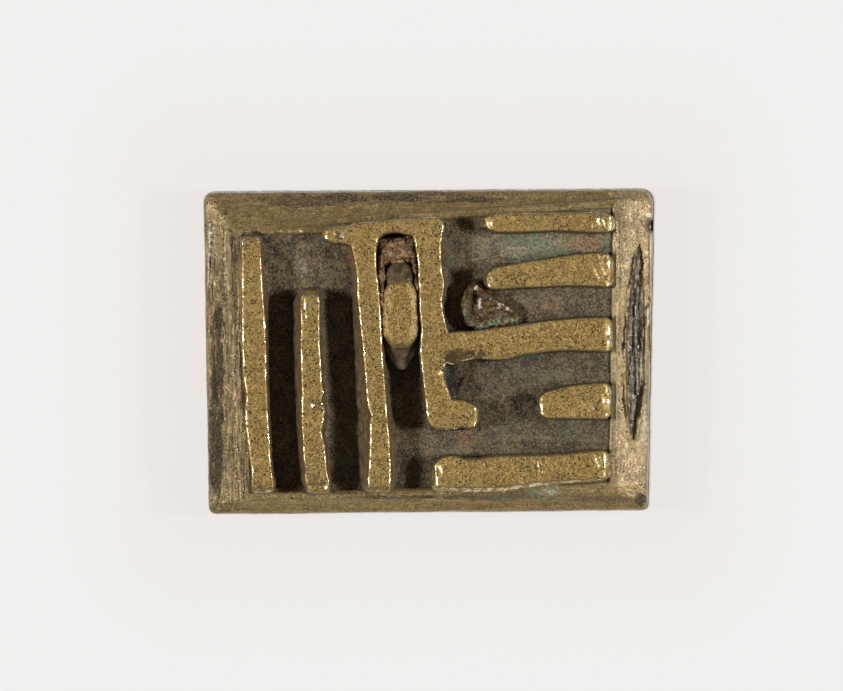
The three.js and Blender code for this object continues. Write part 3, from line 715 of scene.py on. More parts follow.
def worn_brass(name, glint, dark_below, bright_above, low_darkening=0):
    """Gold where the metal is high and faces up, brown on its walls and low parts, which the last argument
    darkens further
    """
    f = Finish(name)
    grain = f.noise(GRAIN, 2, roughness=0.6)
    fine = f.noise(FINE, 1)
    ragged = f.times(f.maths("SUBTRACT", f.noise(0.25, 3), 0.5), 0.5)
    high = f.ramp(f.plus(f.z, ragged), dark_below, bright_above)
    polish = f.times(f.ramp(f.plus(f.facing_up, ragged), 0.05, 0.35), high)
    pits = f.most(pitted(f, 0.22, 0.8, -0.1, 0.24), pitted(f, 0.12, 0.5, 0, 0.28))
    gold = f.layered(
        (0.25, 0.16, 0.045),
        (grain, 0.3, 0.7, 0, 1, (0.62, 0.43, 0.15)),
        (f.noise(0.2, 2), 0.58, 0.72, 0, 0.5, (0.42, 0.24, 0.1)),
        (f.noise(1.6, 2), 0.4, 0.65, 0, 0.25, (0.34, 0.27, 0.12)),
        (fine, 0.62, 0.75, 0, 0.6, (0.8, 0.66, 0.38)),
    )
    gold = f.colour(f.times(pits, 0.9), f.grained(gold, 0.5, FINE), PIT)
    gold, dull = f.patched(gold, top_patches)
    patina = f.layered(
        (0.08, 0.055, 0.03),
        (f.noise(0.45, 4), 0.35, 0.65, 0, 1, (0.22, 0.155, 0.085)),
        (grain, 0.5, 0.75, 0, 0.6, (0.33, 0.24, 0.13)),
        (grain, 0.25, 0.42, 0.6, 0, (0.04, 0.028, 0.018)),
    )
    patina = f.grained(f.patched(patina, wall_patches)[0], 0.45)
    if low_darkening:
        patina = f.colour(low_darkening, patina, SHADE)
        dull = f.most(dull, f.without(1, high))
    edge = f.without(f.times(f.ramp(f.facing_up, 0.2, 0.5), high), f.ramp(f.facing_up, 0.955, 0.99))
    burnish_and_glint = f.times(glint, edge, f.ramp(f.noise(0.6, 3, roughness=0.65), 0.45, 0.58))
    colour = f.colour(polish, patina, gold)
    # The pale colour on burnished edges paints part of their highlight; the low roughness there is real
    # burnish
    colour = f.colour(f.times(burnish_and_glint, f.ramp(grain, 0.3, 0.5, 0, 0.7)), colour, (0.8, 0.68, 0.46))
    colour = f.colour(f.times(f.without(edge, burnish_and_glint), 0.35), colour, (0.2, 0.14, 0.06))
    rough_top = f.ramp(fine, 0.3, 0.7, 0.4, 0.6)
    roughness = f.amount(edge, f.amount(polish, 0.6, rough_top), f.amount(burnish_and_glint, 0.6, 0.22))
    metal = f.times(f.amount(polish, 0.15, 0.92), f.without(1, dull))
    f.matt(dull)
    f.glaze(0.08, 0.2)
    f.relief(f.heaped((grain, 0.35), (fine, 0.3), (pits, -1)), 0.035)
    return f.finish(colour, roughness, metal)


def side_look(f):
    """Colour and share of bare metal on the sides of the block, which run on from strip to slab"""
    mottle = f.noise(1.4, 5, roughness=0.65)
    grain = f.noise(CRUST_GRAIN, 3, roughness=0.7)
    colour = f.layered(
        (0.14, 0.1, 0.045), (grain, 0.35, 0.66, 0, 1, (0.36, 0.265, 0.12)),
        (mottle, 0.3, 0.68, 0.8, 0.25, PATINA),
    )
    return f.grained(colour, 0.4), f.ramp(mottle, 0.3, 0.68, 0.25, 0.6)


def side_brass():
    f = Finish("side_brass")
    colour, metal = side_look(f)
    f.glaze(1, SIDE_GLAZE)
    f.relief(f.noise(CRUST_GRAIN, 3, roughness=0.7), 0.02)
    return f.finish(colour, SIDE_ROUGHNESS, metal)


def border_brass(
    name, stretch, deep, pale, dark_patches, tinted_patches, torn_patches=(), streaky=0.25, speckle=0.6,
):
    """Streaks run along the strip; the patina was never rubbed off the dark patches"""
    f = Finish(name)
    streak = f.noise(GRAIN, 3, stretch=stretch, roughness=0.65)
    grain = f.noise(GRAIN, 2, roughness=0.6)
    fine = f.noise(FINE, 1)
    pits = f.most(pitted(f, 0.26, 0.9, -0.2, 0.16), pitted(f, 0.12, 0.6, -0.03, 0.22))
    brass = f.layered(
        deep,
        (grain, 0.22, 0.78, 0, 1, pale),
        (streak, 0.36, 0.5, streaky, 0, (0.09, 0.062, 0.034)),
        (streak, 0.52, 0.64, 0, streaky, lighter(pale, 1.4)),
        (f.noise(0.25, 3), 0.56, 0.72, 0, 0.4, (0.36, 0.2, 0.1)),
        (fine, 0.6, 0.75, 0, 0.7, lighter(pale, 1.7)),
    )
    dull = f.layered(
        (0.038, 0.027, 0.015),
        (grain, 0.35, 0.65, 0, 1, (0.145, 0.105, 0.056)),
        (fine, 0.6, 0.75, 0, 0.7, (0.33, 0.25, 0.15)),
    )
    dark = f.ramp(f.noise(0.4, 2, stretch=stretch), 0.3, 0.42, 0.3, 0)
    long = tuple(0.8 + share / 5 for share in stretch)
    ragged = f.plus(f.times(streak, 0.35), f.times(f.noise(0.3, 4, stretch=long, roughness=0.7), 0.85))
    for column, row, wide, tall, most in dark_patches:
        spot = f.spot(column, row, wide * 1.2, tall * 1.2, 0.2)
        worn_away = f.ramp(f.plus(ragged, f.times(spot, 0.25)), 0.7, 0.8)
        dark = f.most(dark, f.times(most, worn_away, f.ramp(spot, 0.02, 0.3)))
    colour = f.colour(dark, f.grained(brass, speckle, 0.08), f.grained(dull, 0.35, 0.08))
    on_top = f.ramp(f.facing_up, 0.25, 0.6)
    colour, covered = f.patched(f.colour(f.times(pits, 0.75), colour, PIT), tinted_patches, on_top)
    dark = f.most(dark, covered)
    torn = f.layered(
        (0.12, 0.098, 0.07),
        (streak, 0.42, 0.6, 0, 1, (0.4, 0.345, 0.27)),
        (grain, 0.53, 0.68, 0, 0.85, (0.7, 0.63, 0.5)),
    )
    for column, row, wide, tall in torn_patches:
        colour = f.colour(f.ramp(f.spot(column, row, wide, tall, 0.3), 0.1, 0.4), colour, torn)
    side_colour, side_metal = side_look(f)
    worn = f.ramp(f.noise(0.5, 3), 0.35, 0.6, 0.3, 0.55)
    roughness = f.amount(on_top, SIDE_ROUGHNESS, f.amount(dark, worn, 0.65))
    metal = f.amount(on_top, side_metal, f.amount(dark, 0.5, 0.1))
    f.matt(f.times(dark, on_top))
    f.glaze(f.amount(on_top, 1, 0.08), f.amount(on_top, SIDE_GLAZE, 0.22))
    f.relief(f.heaped((streak, 1.5 * streaky), (grain, 0.6), (pits, -0.8), (fine, 0.5)), 0.05)
    return f.finish(f.colour(on_top, side_colour, colour), roughness, metal)


def field_brass():
    f = Finish("field_brass")
    mottle = f.noise(0.9, 4, roughness=0.6)
    grain = f.noise(CRUST_GRAIN, 2, roughness=0.65)
    fine = f.noise(FINE, 1)
    brushed = f.noise(GRAIN, 3, stretch=(6, 1, 1), roughness=0.65)
    ground = f.layered(
        (0.052, 0.038, 0.019),
        (mottle, 0.35, 0.65, 0, 1, (0.175, 0.131, 0.064)),
        (brushed, 0.35, 0.55, 0.6, 0, (0.05, 0.036, 0.02)),
        (f.noise(0.45, 4, roughness=0.65), 0.34, 0.5, 0.65, 0, (0.032, 0.023, 0.014)),
        (grain, 0.34, 0.51, 0.85, 0, (0.024, 0.018, 0.011)),
        (grain, 0.52, 0.66, 0, 0.85, (0.27, 0.205, 0.11)),
        (fine, 0.58, 0.74, 0, 0.75, (0.38, 0.31, 0.19)),
        (f.noise(0.17, 2, roughness=0.6), 0.62, 0.68, 0, 0.8, (0.26, 0.12, 0.05)),
        (f.noise(0.16, 2, roughness=0.6), 0.64, 0.7, 0, 0.6, TEAL),
    )
    brighter_behind = f.ramp(f.y, up(330), up(260), 1, 1.35)
    ground = f.patched(f.shaded(f.grained(ground, 0.35, 0.08), brighter_behind), field_patches)[0]
    f.glaze(0.1, 0.25)
    f.relief(f.heaped((grain, 0.8), (mottle, 0.5), (brushed, 0.2), (fine, 0.5)), 0.08)
    return f.finish(ground, f.ramp(grain, 0.3, 0.7, 0.5, 0.8), 0.3)


def crust_brass(name, deep, pale, shine, patches=()):
    """Metal that froze as it ran, rough and never rubbed"""
    f = Finish(name)
    mottle = f.noise(0.4, 4, roughness=0.65)
    grain = f.noise(CRUST_GRAIN, 2, roughness=0.65)
    fine = f.noise(FINE, 1)
    crust = f.layered(
        deep,
        (mottle, 0.35, 0.65, 0, 1, pale),
        (grain, 0.3, 0.5, 0.8, 0, (0.03, 0.022, 0.016)),
        (grain, 0.56, 0.74, 0, 0.5, lighter(pale, 1.7)),
        (fine, 0.62, 0.76, 0, 0.4, lighter(pale, 2)),
    )
    crust = f.patched(f.grained(crust, 0.55, 0.08), patches)[0]
    f.glaze(shine, f.ramp(mottle, 0.4, 0.6, 0.06, 0.16))
    f.matt(1)
    f.relief(f.heaped((grain, 0.7), (mottle, 0.4), (fine, 0.4)), 0.07)
    return f.finish(crust, f.ramp(grain, 0.35, 0.65, 0.35, 0.7), 0.25)


bars = worn_brass("worn_brass", 1, FIELD + 0.75, FIELD + 1.3)
boss = worn_brass("boss_brass", 0.05, TOP - 0.26, TOP - 0.08, low_darkening=0.45)
ALONG_STREAKS = (14, 1, 1)
ACROSS_STREAKS = (1, 14, 1)

# Dark patches have no tint of their own
back_dark = [
    (305, 201, 2.6, 0.42, 0.8), (345, 197, 2, 0.3, 1), (400, 197, 2.5, 0.25, 1), (465, 199, 2.8, 0.25, 1),
    (303, 194, 0.25, 0.15, 1), (285, 195, 0.2, 0.15, 1), (265, 198, 0.6, 0.15, 0.8), (440, 193, 2, 0.25, 0.7),
    (392, 195, 1, 0.3, 0.6), (320, 234, 1.6, 0.15, 0.9), (225, 212, 0.15, 0.15, 1),
]
back_tints = [
    # The near-white tint at column 300 is a painted highlight on the lip
    (298, 231.5, 1.9, 0.14, GOLD, 0.9), (300, 231.5, 0.2, 0.1, (0.9, 0.8, 0.6), 0.9),
    (560, 208, 2.2, 0.3, GREEN, 0.25), (262, 229, 0.2, 0.15, COPPER, 0.8),
]
back_border = border_brass(
    "back_border_brass", ALONG_STREAKS, (0.14, 0.092, 0.036), (0.36, 0.255, 0.105), back_dark, back_tints,
)
front_dark = [
    (410, 498, 4, 0.14, 0.9), (500, 497, 4, 0.3, 0.7), (610, 500, 3, 0.2, 0.6), (642, 501, 0.4, 0.45, 1),
    (330, 493, 3, 0.15, 0.5), (238, 494, 0.25, 0.15, 0.9),
]
front_tints = [
    (545, 491, 0.9, 0.45, PALE_GREEN, 1), (534, 490, 0.5, 0.4, TEAL, 0.9), (548, 500, 0.6, 0.25, TEAL, 0.5),
    (500, 499, 0.9, 0.2, TEAL, 0.6), (392, 500, 0.6, 0.2, (0.3, 0.27, 0.22), 0.5),
]
front_border = border_brass(
    "front_border_brass", ALONG_STREAKS, (0.17, 0.117, 0.045), (0.42, 0.3, 0.125), front_dark, front_tints,
)
left_dark = [
    (215, 430, 0.45, 5, 1), (214, 455, 0.45, 3.4, 1), (218, 365, 0.3, 2.2, 1), (217, 322, 0.42, 1.4, 1),
    (231, 218, 0.2, 0.15, 1), (223, 208, 0.2, 0.2, 0.9), (234, 280, 0.12, 3, 0.6), (222, 275, 0.25, 1.6, 0.7),
]
left_tints = [
    # The first four tints are painted highlights along the ridges at the outer edge and at column 224
    (208.5, 232, 0.06, 1, PAINTED_HIGHLIGHT, 0.8, 0.14), (207.5, 268, 0.06, 1.3, PAINTED_HIGHLIGHT, 0.8, 0.14),
    (224, 262, 0.08, 2, PAINTED_HIGHLIGHT, 0.7, 0.1), (211, 240, 0.14, 1.3, (0.9, 0.8, 0.62), 0.7, 0.05),
    (222, 260, 0.3, 2.4, (0.62, 0.42, 0.22), 0.5), (208, 350, 0.2, 3, (0.4, 0.26, 0.12), 0.5),
    (214, 407, 0.4, 0.3, (0.5, 0.38, 0.26), 0.5),
]
left_border = border_brass(
    "left_border_brass", ACROSS_STREAKS, (0.105, 0.072, 0.029), (0.37, 0.26, 0.115), left_dark, left_tints,
    streaky=0.75, speckle=0.35,
)
right_dark = [(653, 226, 0.3, 0.4, 1), (642, 500, 0.35, 0.4, 0.9)]
right_tints = [
    # All tints here except the olive one at column 616 are painted highlights: on the outer edge and the
    # metal beside it, round the nick and on the crack's inner rim
    (652.3, 262, 0.06, 2, PAINTED_HIGHLIGHT, 0.9, 0.3), (649, 317, 0.06, 0.5, PAINTED_HIGHLIGHT, 0.9, 1),
    (652.8, 350, 0.06, 1.6, PAINTED_HIGHLIGHT, 0.9, 0.3), (654, 420, 0.06, 3.2, PAINTED_HIGHLIGHT, 0.9, 0.3),
    (650.5, 214.5, 0.2, 0.1, PAINTED_HIGHLIGHT, 0.9, 1), (616, 410, 0.25, 2, (0.2, 0.22, 0.14), 0.7),
    (646, 425, 0.3, 1.4, (0.85, 0.7, 0.52), 0.7, 0.12), (631, 300, 0.15, 2, (0.8, 0.62, 0.42), 0.6, 0.1),
    (625, 390, 0.12, 2.5, (0.8, 0.6, 0.25), 0.6, 0.1),
]
right_torn = [
    (640.5, 262, 0.2, 1), (637.5, 300, 0.46, 2), (637, 345, 0.55, 2.4), (636, 385, 0.5, 1.5),
    (634.5, 415, 0.28, 1.3),
]
right_border = border_brass(
    "right_border_brass", ACROSS_STREAKS, (0.2, 0.145, 0.065), (0.48, 0.36, 0.19),
    right_dark, right_tints, right_torn,
)
field = field_brass()
side = side_brass()
crust = crust_brass("copper_crust", (0.12, 0.065, 0.03), (0.44, 0.28, 0.15), 0.12)
pool_patches = [
    (464, 308, 0.12, 1, GREEN, 0.8, 0.14), (480, 328, 1, 0.2, GREEN, 0.9, 0.16),
    (503, 322, 1, 0.25, GREEN, 0.9, 0.16), (480, 328, 1, 0.2, TEAL, 0.9, 0.05),
    (471, 324, 0.5, 0.4, GREEN, 0.7, 0.1), (505, 325.5, 0.3, 0.12, COPPER, 1, 0.3),
    (488, 305, 0.4, 0.3, (0.2, 0.13, 0.03), 0.7, 0.12), (494, 296, 0.3, 0.2, TEAL, 0.5),
    # The last four patches are painted highlights on the pool
    (476.5, 289, 0.12, 0.25, PAINTED_HIGHLIGHT, 0.9, 0.12), (480, 303, 0.12, 0.3, PAINTED_HIGHLIGHT, 0.9, 0.1),
    (500, 305, 0.2, 0.3, PAINTED_HIGHLIGHT, 0.9, 0.08), (510, 309, 0.25, 0.12, PAINTED_HIGHLIGHT, 0.8, 0.06),
]
pool_crust = crust_brass("pool_crust", (0.065, 0.038, 0.016), (0.18, 0.11, 0.05), 0.55, pool_patches)


# Block: the field and the sides below the border

def copied(name, node):
    """A copy of a solid of the model, in millimetres and with its corners joined up"""
    piece = bpy.data.objects.new(name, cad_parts[node].data.copy())
    bpy.context.scene.collection.objects.link(piece)
    open_up(piece)
    bpy.ops.mesh.select_all(action="SELECT")
    bpy.ops.mesh.remove_doubles(threshold=MM * MM)
    take(piece)
    piece.scale = (1 / MM, 1 / MM, 1 / MM)
    bpy.ops.object.transform_apply(location=False, rotation=False, scale=True)
    return piece


# Ends of the joints between the strips: corner of the field, outer edge
FRONT_LEFT_JOINT = ((-10.38, -8.09), (-11.65, -9.45))
FRONT_RIGHT_JOINT = ((10.21, -7.63), (12.76, -7.67))
BACK_RIGHT_JOINT = ((10.56, 8.15), (10.8, 9.45))
BACK_LEFT_JOINT = ((-10.9, 6.71), (-13.1, 7.57))
JOINT_LAP = 0.12
SEAM_REACH = 0.15  # how far from the seam of strip and field its corners are picked

UNDER_LEDGE = 0.3  # how far a strip runs down past the ledge before it is cut there
SLAB_CUT = LEDGE - 0.05  # the slab's copy is cut here, and its cut face then raised past the ledge
SLAB_RISE = 0.4
BED_FOOT = LEDGE + 0.2
SLOPE_FOOT = LEDGE + 0.3
FIELD_HALF = (11, 8.45)  # the field's finish is kept inside these
FIELD_REACH = (-11.2, -8.4, 10.9, 8.5)
FIELD_STEP = 0.088
REST_SKIN = 0.04  # corners lower than this are pressed flat, as the face that the block rests on
BACK_LAP = 0.3  # how far the field runs under the back strip
HOLLOW_RIM = 0.45
# Left and right column, back and front row of the photo, depth in millimetres
FIELD_HOLLOWS = [
    (272, 294, 300, 484, 0.38), (328, 356, 302, 478, 0.3), (392, 424, 366, 424, 0.3),
    (450, 458, 274, 330, 0.3),
]


def deepen(left, right, back, front, depth):
    """Sinks the field between two columns and two rows of the photo"""
    pick_corners(lambda spot: across(left) < spot.x < across(right) and up(front) < spot.y < up(back))
    pull((0, 0, -depth), HOLLOW_RIM)


def make_field():
    left, front, right, back = FIELD_REACH
    put_down()
    bpy.ops.mesh.primitive_grid_add(
        x_subdivisions=round((right - left) / FIELD_STEP), y_subdivisions=round((back - front) / FIELD_STEP),
        size=1, location=((left + right) / 2, (front + back) / 2, FIELD),
    )
    bpy.context.object.scale = (right - left, back - front, 1)
    piece = settle("field")
    open_up(piece)
    for hollow in FIELD_HOLLOWS:
        deepen(*hollow)
    for size, depth in ((1.3, 0.16), (0.4, 0.1), (0.16, 0.05)):
        uneven(piece, size, depth, "Z")
    (left_x, left_y), (right_x, right_y) = BACK_LEFT_JOINT[0], BACK_RIGHT_JOINT[0]
    slope = (right_y - left_y) / (right_x - left_x)
    open_up(piece)
    cut_through((left_x, left_y + BACK_LAP, 0), (-slope, 1, 0), clear_outer=True)
    open_up(piece, "EDGE")
    pick_edges(lambda edge: edge.is_boundary)
    bpy.ops.mesh.extrude_region_move(TRANSFORM_OT_translate={"value": (0, 0, LEDGE - FIELD)})
    bpy.ops.mesh.edge_face_add()
    put_down()
    return piece


def make_foot():
    """The sides and the underside, up to the ledge that the strips lie on"""
    piece = copied("foot", "base_slab")
    open_up(piece)
    cut_through((0, 0, SLAB_CUT), (0, 0, 1), use_fill=True, clear_outer=True)
    pick_corners(lambda spot: spot.z > SLAB_CUT - NEAR)
    shift(2, SLAB_RISE)
    one_skin(piece, SLAB_SKIN, 3)
    uneven(piece, 2.5, 0.08)
    uneven(piece, 0.5, 0.03)
    open_up(piece)
    cut_through((0, 0, LEDGE), (0, 0, 1), use_fill=True, clear_outer=True)
    pick_corners(lambda spot: spot.z < REST_SKIN)
    bpy.ops.transform.resize(value=(1, 1, 0), center_override=(0, 0, 0))
    put_down()
    return piece


block = join("base_slab_cast", [make_foot(), make_field()])
finished(block, [side, field], ["base_slab"])
for face in block.data.polygons:
    x, y, z = face.center / MM
    face.material_index = 1 if abs(x) < FIELD_HALF[0] and abs(y) < FIELD_HALF[1] and z > BED_FOOT else 0


def beside(line, spot, reach):
    """Whether a place lies within reach of the straight line through two points, seen from above"""
    (ax, ay), (bx, by) = line
    run = math.hypot(bx - ax, by - ay)
    return abs((bx - ax) * (spot.y - ay) - (by - ay) * (spot.x - ax)) / run < reach


def make_strip(node, finish, along, lines, laps, shape=None, inwards=0, carve=None):
    """
    Laps hold each joint of the strip, and the axis and distance by which it runs under the next.
    Shape adds to the strip before its skin is made, and carve works on the finished skin.
    """
    piece = copied(f"{node}_cast", node)
    open_up(piece)
    for joint, axis, distance in laps:
        pick_corners(lambda spot: beside(joint, spot, LINE_REACH))
        shift(axis, distance)
    if inwards:
        pick_corners(lambda spot: beside((FRONT_LEFT_JOINT[0], BACK_LEFT_JOINT[0]), spot, SEAM_REACH))
        shift(0, inwards)
    pick_corners(lambda spot: spot.z < LEDGE + NEAR)
    shift(2, -UNDER_LEDGE)
    if shape:
        piece = shape(piece)
    one_skin(piece, BORDER_SKIN, 3)
    uneven(piece, 2.5, 0.1)
    streaked(piece, along, 0.3, 0.05)
    uneven(piece, 0.35, 0.04)
    for stops, lift, reach in lines:
        scribe(piece, stops, lift, reach, SLOPE_FOOT)
    if carve:
        carve(piece)
    open_up(piece)
    cut_through((0, 0, LEDGE), (0, 0, 1), use_fill=True, clear_inner=True)
    finished(piece, [finish], [node])


# The crack in the right strip: row, left and right edge
crack_rows = [
    (244, 640, 641.5), (262, 635.8, 644.5), (300, 630, 645.5), (345, 627, 646.5), (375, 626.5, 646),
    (390, 627, 645), (400, 627.5, 642.5), (425, 631.5, 638.5), (442, 633.5, 634.5),
]
CRACK_MIDDLE = across(637)
CRACK_BED = 4.02
CRACK_BED_ABOVE = CRACK_BED - 0.3  # only its top lies above this
CRACK_FALL = 0.34  # the bed lies that much lower at its outer side
CRACK_RIDGES = [
    ([(637.5, 290), (636.5, 345), (639, 395)], 0.16, 0.13),
    ([(631.5, 335), (631, 385), (634, 420)], 0.1, 0.1), ([(643, 270), (642.5, 340), (643, 385)], 0.1, 0.1),
]
NICK = (across(655), up(225))


def into_crack(spot):
    """How far a place lies inside the edge of the crack; less than 0 outside it"""
    for (row, left, right), (next_row, next_left, next_right) in zip(crack_rows, crack_rows[1:]):
        if up(next_row) <= spot.y <= up(row):
            share = (up(row) - spot.y) / (up(row) - up(next_row))
            low = across(left + share * (next_left - left))
            high = across(right + share * (next_right - right))
            return min(spot.x - low, high - spot.x)
    return -1


def with_bed(strip):
    """Lays a bed in the crack that falls outwards with the strip"""
    bed = bar("crack_bed", ACROSS, standing(crack_rows), top=CRACK_BED, foot=BED_FOOT, end_rounds=(0, 0))
    open_up(bed)
    pick_corners(lambda spot: spot.z > CRACK_BED_ABOVE and spot.x > CRACK_MIDDLE)
    shift(2, -CRACK_FALL)
    return join(strip.name, [strip, bed])


def sink_crack(strip):
    """Sinks the crack and the nick in steps, and leaves thin ridges along the crack"""
    open_up(strip)
    for reach, depth in ((0.02, 0.14), (0.1, 0.08), (0.2, 0.04)):
        pick_corners(lambda spot: into_crack(spot) > reach and spot.z > SLOPE_FOOT)
        shift(2, -depth)
    for stops, lift, reach in CRACK_RIDGES:
        scribe(strip, stops, lift, reach, BED_FOOT)
    for size, depth in ((0.35, 0.16), (0.17, 0.12)):
        uneven(strip, size, depth, inside=lambda spot: into_crack(spot) > 0)
    open_up(strip)
    for reach, depth in ((0.42, 0.12), (0.34, 0.3)):
        pick_corners(lambda spot: math.dist(spot.xy, NICK) < reach and spot.z > SLOPE_FOOT)
        shift(2, -depth)
    take(strip)


# The low lip behind the field: column, back and front wall
lip_columns = [(258, 227, 233.5), (275, 225, 233), (300, 224, 232.8), (336, 222, 233.5)]
LIP_MIDDLE = up(229)
LIP_RISE = 0.3
LIP_FALL = 0.2  # the lip is that much lower at its back wall


def with_lip(strip):
    """Carries the inner edge of the strip on to the foot of the spur, as a low lip"""
    lip = bar("lip", ALONG, lying(lip_columns), top=CREST + LIP_RISE, foot=BED_FOOT, end_rounds=(0.3, 0))
    open_up(lip)
    pick_corners(lambda spot: spot.z > CREST and spot.y > LIP_MIDDLE)
    shift(2, -LIP_FALL)
    return join(strip.name, [strip, lip])


# Ridges and grooves of the strips: stops by column and row, lift, reach
back_lines = [
    ([(262, 231.5), (276, 230.5), (300, 230.5), (334, 230.5)], 0.12, 0.14),
    ([(270, 205.5), (330, 204.5)], 0.06, 0.12), ([(350, 204.5), (385, 203)], 0.05, 0.12),
    ([(425, 200), (505, 197.5)], -0.06, 0.15), ([(606, 186), (612, 190), (616, 199)], 0.08, 0.15),
    ([(205, 197), (280, 192)], 0.05, 0.15),
]
front_lines = [
    ([(335, 491.5), (430, 492)], 0.06, 0.12), ([(345, 499), (400, 500), (470, 497)], -0.06, 0.15),
    ([(395, 505), (445, 500.5), (530, 502)], 0.05, 0.15),
]
left_lines = [
    ([(209, 222), (209.5, 240), (207.5, 262), (206, 300)], 0.08, 0.14),
    ([(212, 262), (210, 300)], 0.05, 0.12), ([(228, 216), (229.5, 260), (229, 345)], 0.04, 0.13),
    ([(224.5, 345), (227, 400), (230, 440), (232, 470)], 0.05, 0.13),
    ([(220, 225), (222, 300)], 0.05, 0.12), ([(213, 330), (217, 400)], -0.08, 0.2),
    ([(238, 345), (241, 400), (243, 420)], 0.08, 0.12),
]
right_lines = [
    ([(649, 196), (653, 204)], 0.09, 0.15),
    ([(652, 237), (652.5, 300), (650, 308), (648.5, 317), (652, 326), (653, 345), (654, 480)], 0.18, 0.15),
    ([(637.5, 250), (629, 300), (626, 345), (625.5, 375), (626, 400), (631.5, 440)], 0.14, 0.12),
    ([(617, 218), (617, 450)], 0.06, 0.1), ([(646, 392), (642, 415), (638, 440)], 0.1, 0.14),
]
LEFT_STRIP_LAP = 0.2  # how far the left strip's inner edge is moved over the field

make_strip("border_back", back_border, ALONG, back_lines, [
    (BACK_RIGHT_JOINT, 0, JOINT_LAP), (BACK_LEFT_JOINT, 1, -JOINT_LAP),
], shape=with_lip)
make_strip("border_front", front_border, ALONG, front_lines, [
    (FRONT_LEFT_JOINT, 0, -JOINT_LAP), (FRONT_RIGHT_JOINT, 1, JOINT_LAP),
])
make_strip("border_left", left_border, ACROSS, left_lines, [
    (BACK_LEFT_JOINT, 1, JOINT_LAP), (FRONT_LEFT_JOINT, 0, JOINT_LAP),
], inwards=LEFT_STRIP_LAP)
make_strip("border_right", right_border, ACROSS, right_lines, [
    (FRONT_RIGHT_JOINT, 1, -JOINT_LAP), (BACK_RIGHT_JOINT, 0, -JOINT_LAP),
], shape=with_bed, carve=sink_crack)


# Relief

ROUGH_BELOW = TOP - 0.15  # the walls are rougher than the worn tops
DENTS_ABOVE = TOP - 0.6


def below_top(spot):
    return spot.z < ROUGH_BELOW


def cast_bar(piece, nodes, grooves, grain=FINE_SKIN, finish=bars):
    """Grooves hold the stops of each shallow dent in the top, its depth and its reach"""
    one_skin(piece, grain, 2)
    for stops, depth, reach in grooves:
        scribe(piece, stops, -depth, reach, DENTS_ABOVE)
    take(piece)
    soften(piece, 2)
    uneven(piece, 1.1, 0.06)
    uneven(piece, 0.35, 0.02)
    uneven(piece, 0.35, 0.05, inside=below_top)
    uneven(piece, 0.16, 0.03, inside=below_top)
    finished(piece, [finish], nodes)


def lone_bar(node, along, stations, grooves, **form):
    """A bar that stands by itself on the field"""
    cast_bar(bar(f"{node}_cast", along, stations, **form), [node], grooves)


figure = join("figure", [
    bar("figure_left_post", ACROSS, standing(left_post_rows), end_rounds=(0.45, 0)),
    bar("figure_right_post", ACROSS, standing(right_post_rows), end_rounds=(0, 0)),
    bar("figure_lintel", ALONG, lying(lintel_columns), end_rounds=(0, 0)),
    bar("figure_spur", ALONG, lying(spur_columns), end_rounds=(0.35, 0), drops=column_drops((350, 0.1))),
    bar("figure_cross_arm", ALONG, lying(cross_arm_columns), end_rounds=(0, 0.4)),
    bar("figure_foot", ALONG, lying(post_foot_columns), end_rounds=(0, 0.4)),
])
cast_bar(figure, ["left_post", "right_post", "lintel", "lintel_spur", "cross_arm", "post_foot"], [
    ([(608, 324), (609, 337)], 0.05, 0.2), ([(462, 336), (466, 346)], 0.04, 0.18),
    ([(505, 336), (510, 343)], 0.04, 0.14), ([(552, 324), (540, 327)], 0.06, 0.14),
    ([(336, 234), (341, 237)], 0.1, 0.2), ([(442, 372), (447, 384)], 0.08, 0.25),
    ([(455, 409), (462, 412)], 0.03, 0.22), ([(471, 410), (472, 418)], 0.04, 0.24),
], FIGURE_SKIN)

lone_bar("outer_left_bar", ACROSS, standing(outer_left_rows), [
    ([(255, 485), (262, 489)], 0.08, 0.25),
], end_spreads=(0.1, 0.35), end_rounds=(0.45, 0.2))
lone_bar("inner_left_bar", ACROSS, standing(inner_left_rows), [
    ([(315, 405), (322, 408)], 0.1, 0.16), ([(303, 300), (304, 318)], 0.05, 0.14),
    ([(312, 486), (324, 487)], 0.12, 0.25),
], end_spreads=(0.1, 0.3), end_rounds=(0.45, 0.45), corner=0.4)
lone_bar("top_rung", ALONG, lying(top_rung_columns), [
    ([(600, 220), (603, 226)], 0.07, 0.2), ([(594, 226), (596, 228)], 0.04, 0.14),
    ([(489, 221), (490, 224)], 0.04, 0.16),
], end_spreads=(0.6, 0.1), end_rounds=(0.5, 0.5))
lone_bar("second_rung", ALONG, lying(second_rung_columns), [
    ([(601, 257), (605, 264), (607, 274)], 0.05, 0.22), ([(597, 270), (601, 278)], 0.05, 0.16),
    ([(489, 278), (490, 282)], 0.05, 0.16),
], end_spreads=(0.2, 0.1), end_rounds=(0.3, 0.5))
lone_bar("short_rung", ALONG, lying(short_rung_columns), [
    ([(605, 396), (607, 408)], 0.05, 0.2), ([(585, 402), (592, 410)], 0.04, 0.18),
], end_rounds=(0.3, 0.4))
lone_bar("bottom_rung", ALONG, lying(bottom_rung_columns), [
    ([(597, 456), (601, 466)], 0.06, 0.2), ([(438, 466), (439, 474)], 0.06, 0.2),
    ([(493, 464), (496, 474)], 0.02, 0.16), ([(539, 462), (541, 474)], 0.04, 0.12),
], shoulder=0.42, end_spreads=(0.12, 0.12), end_rounds=(0.3, 0.4))
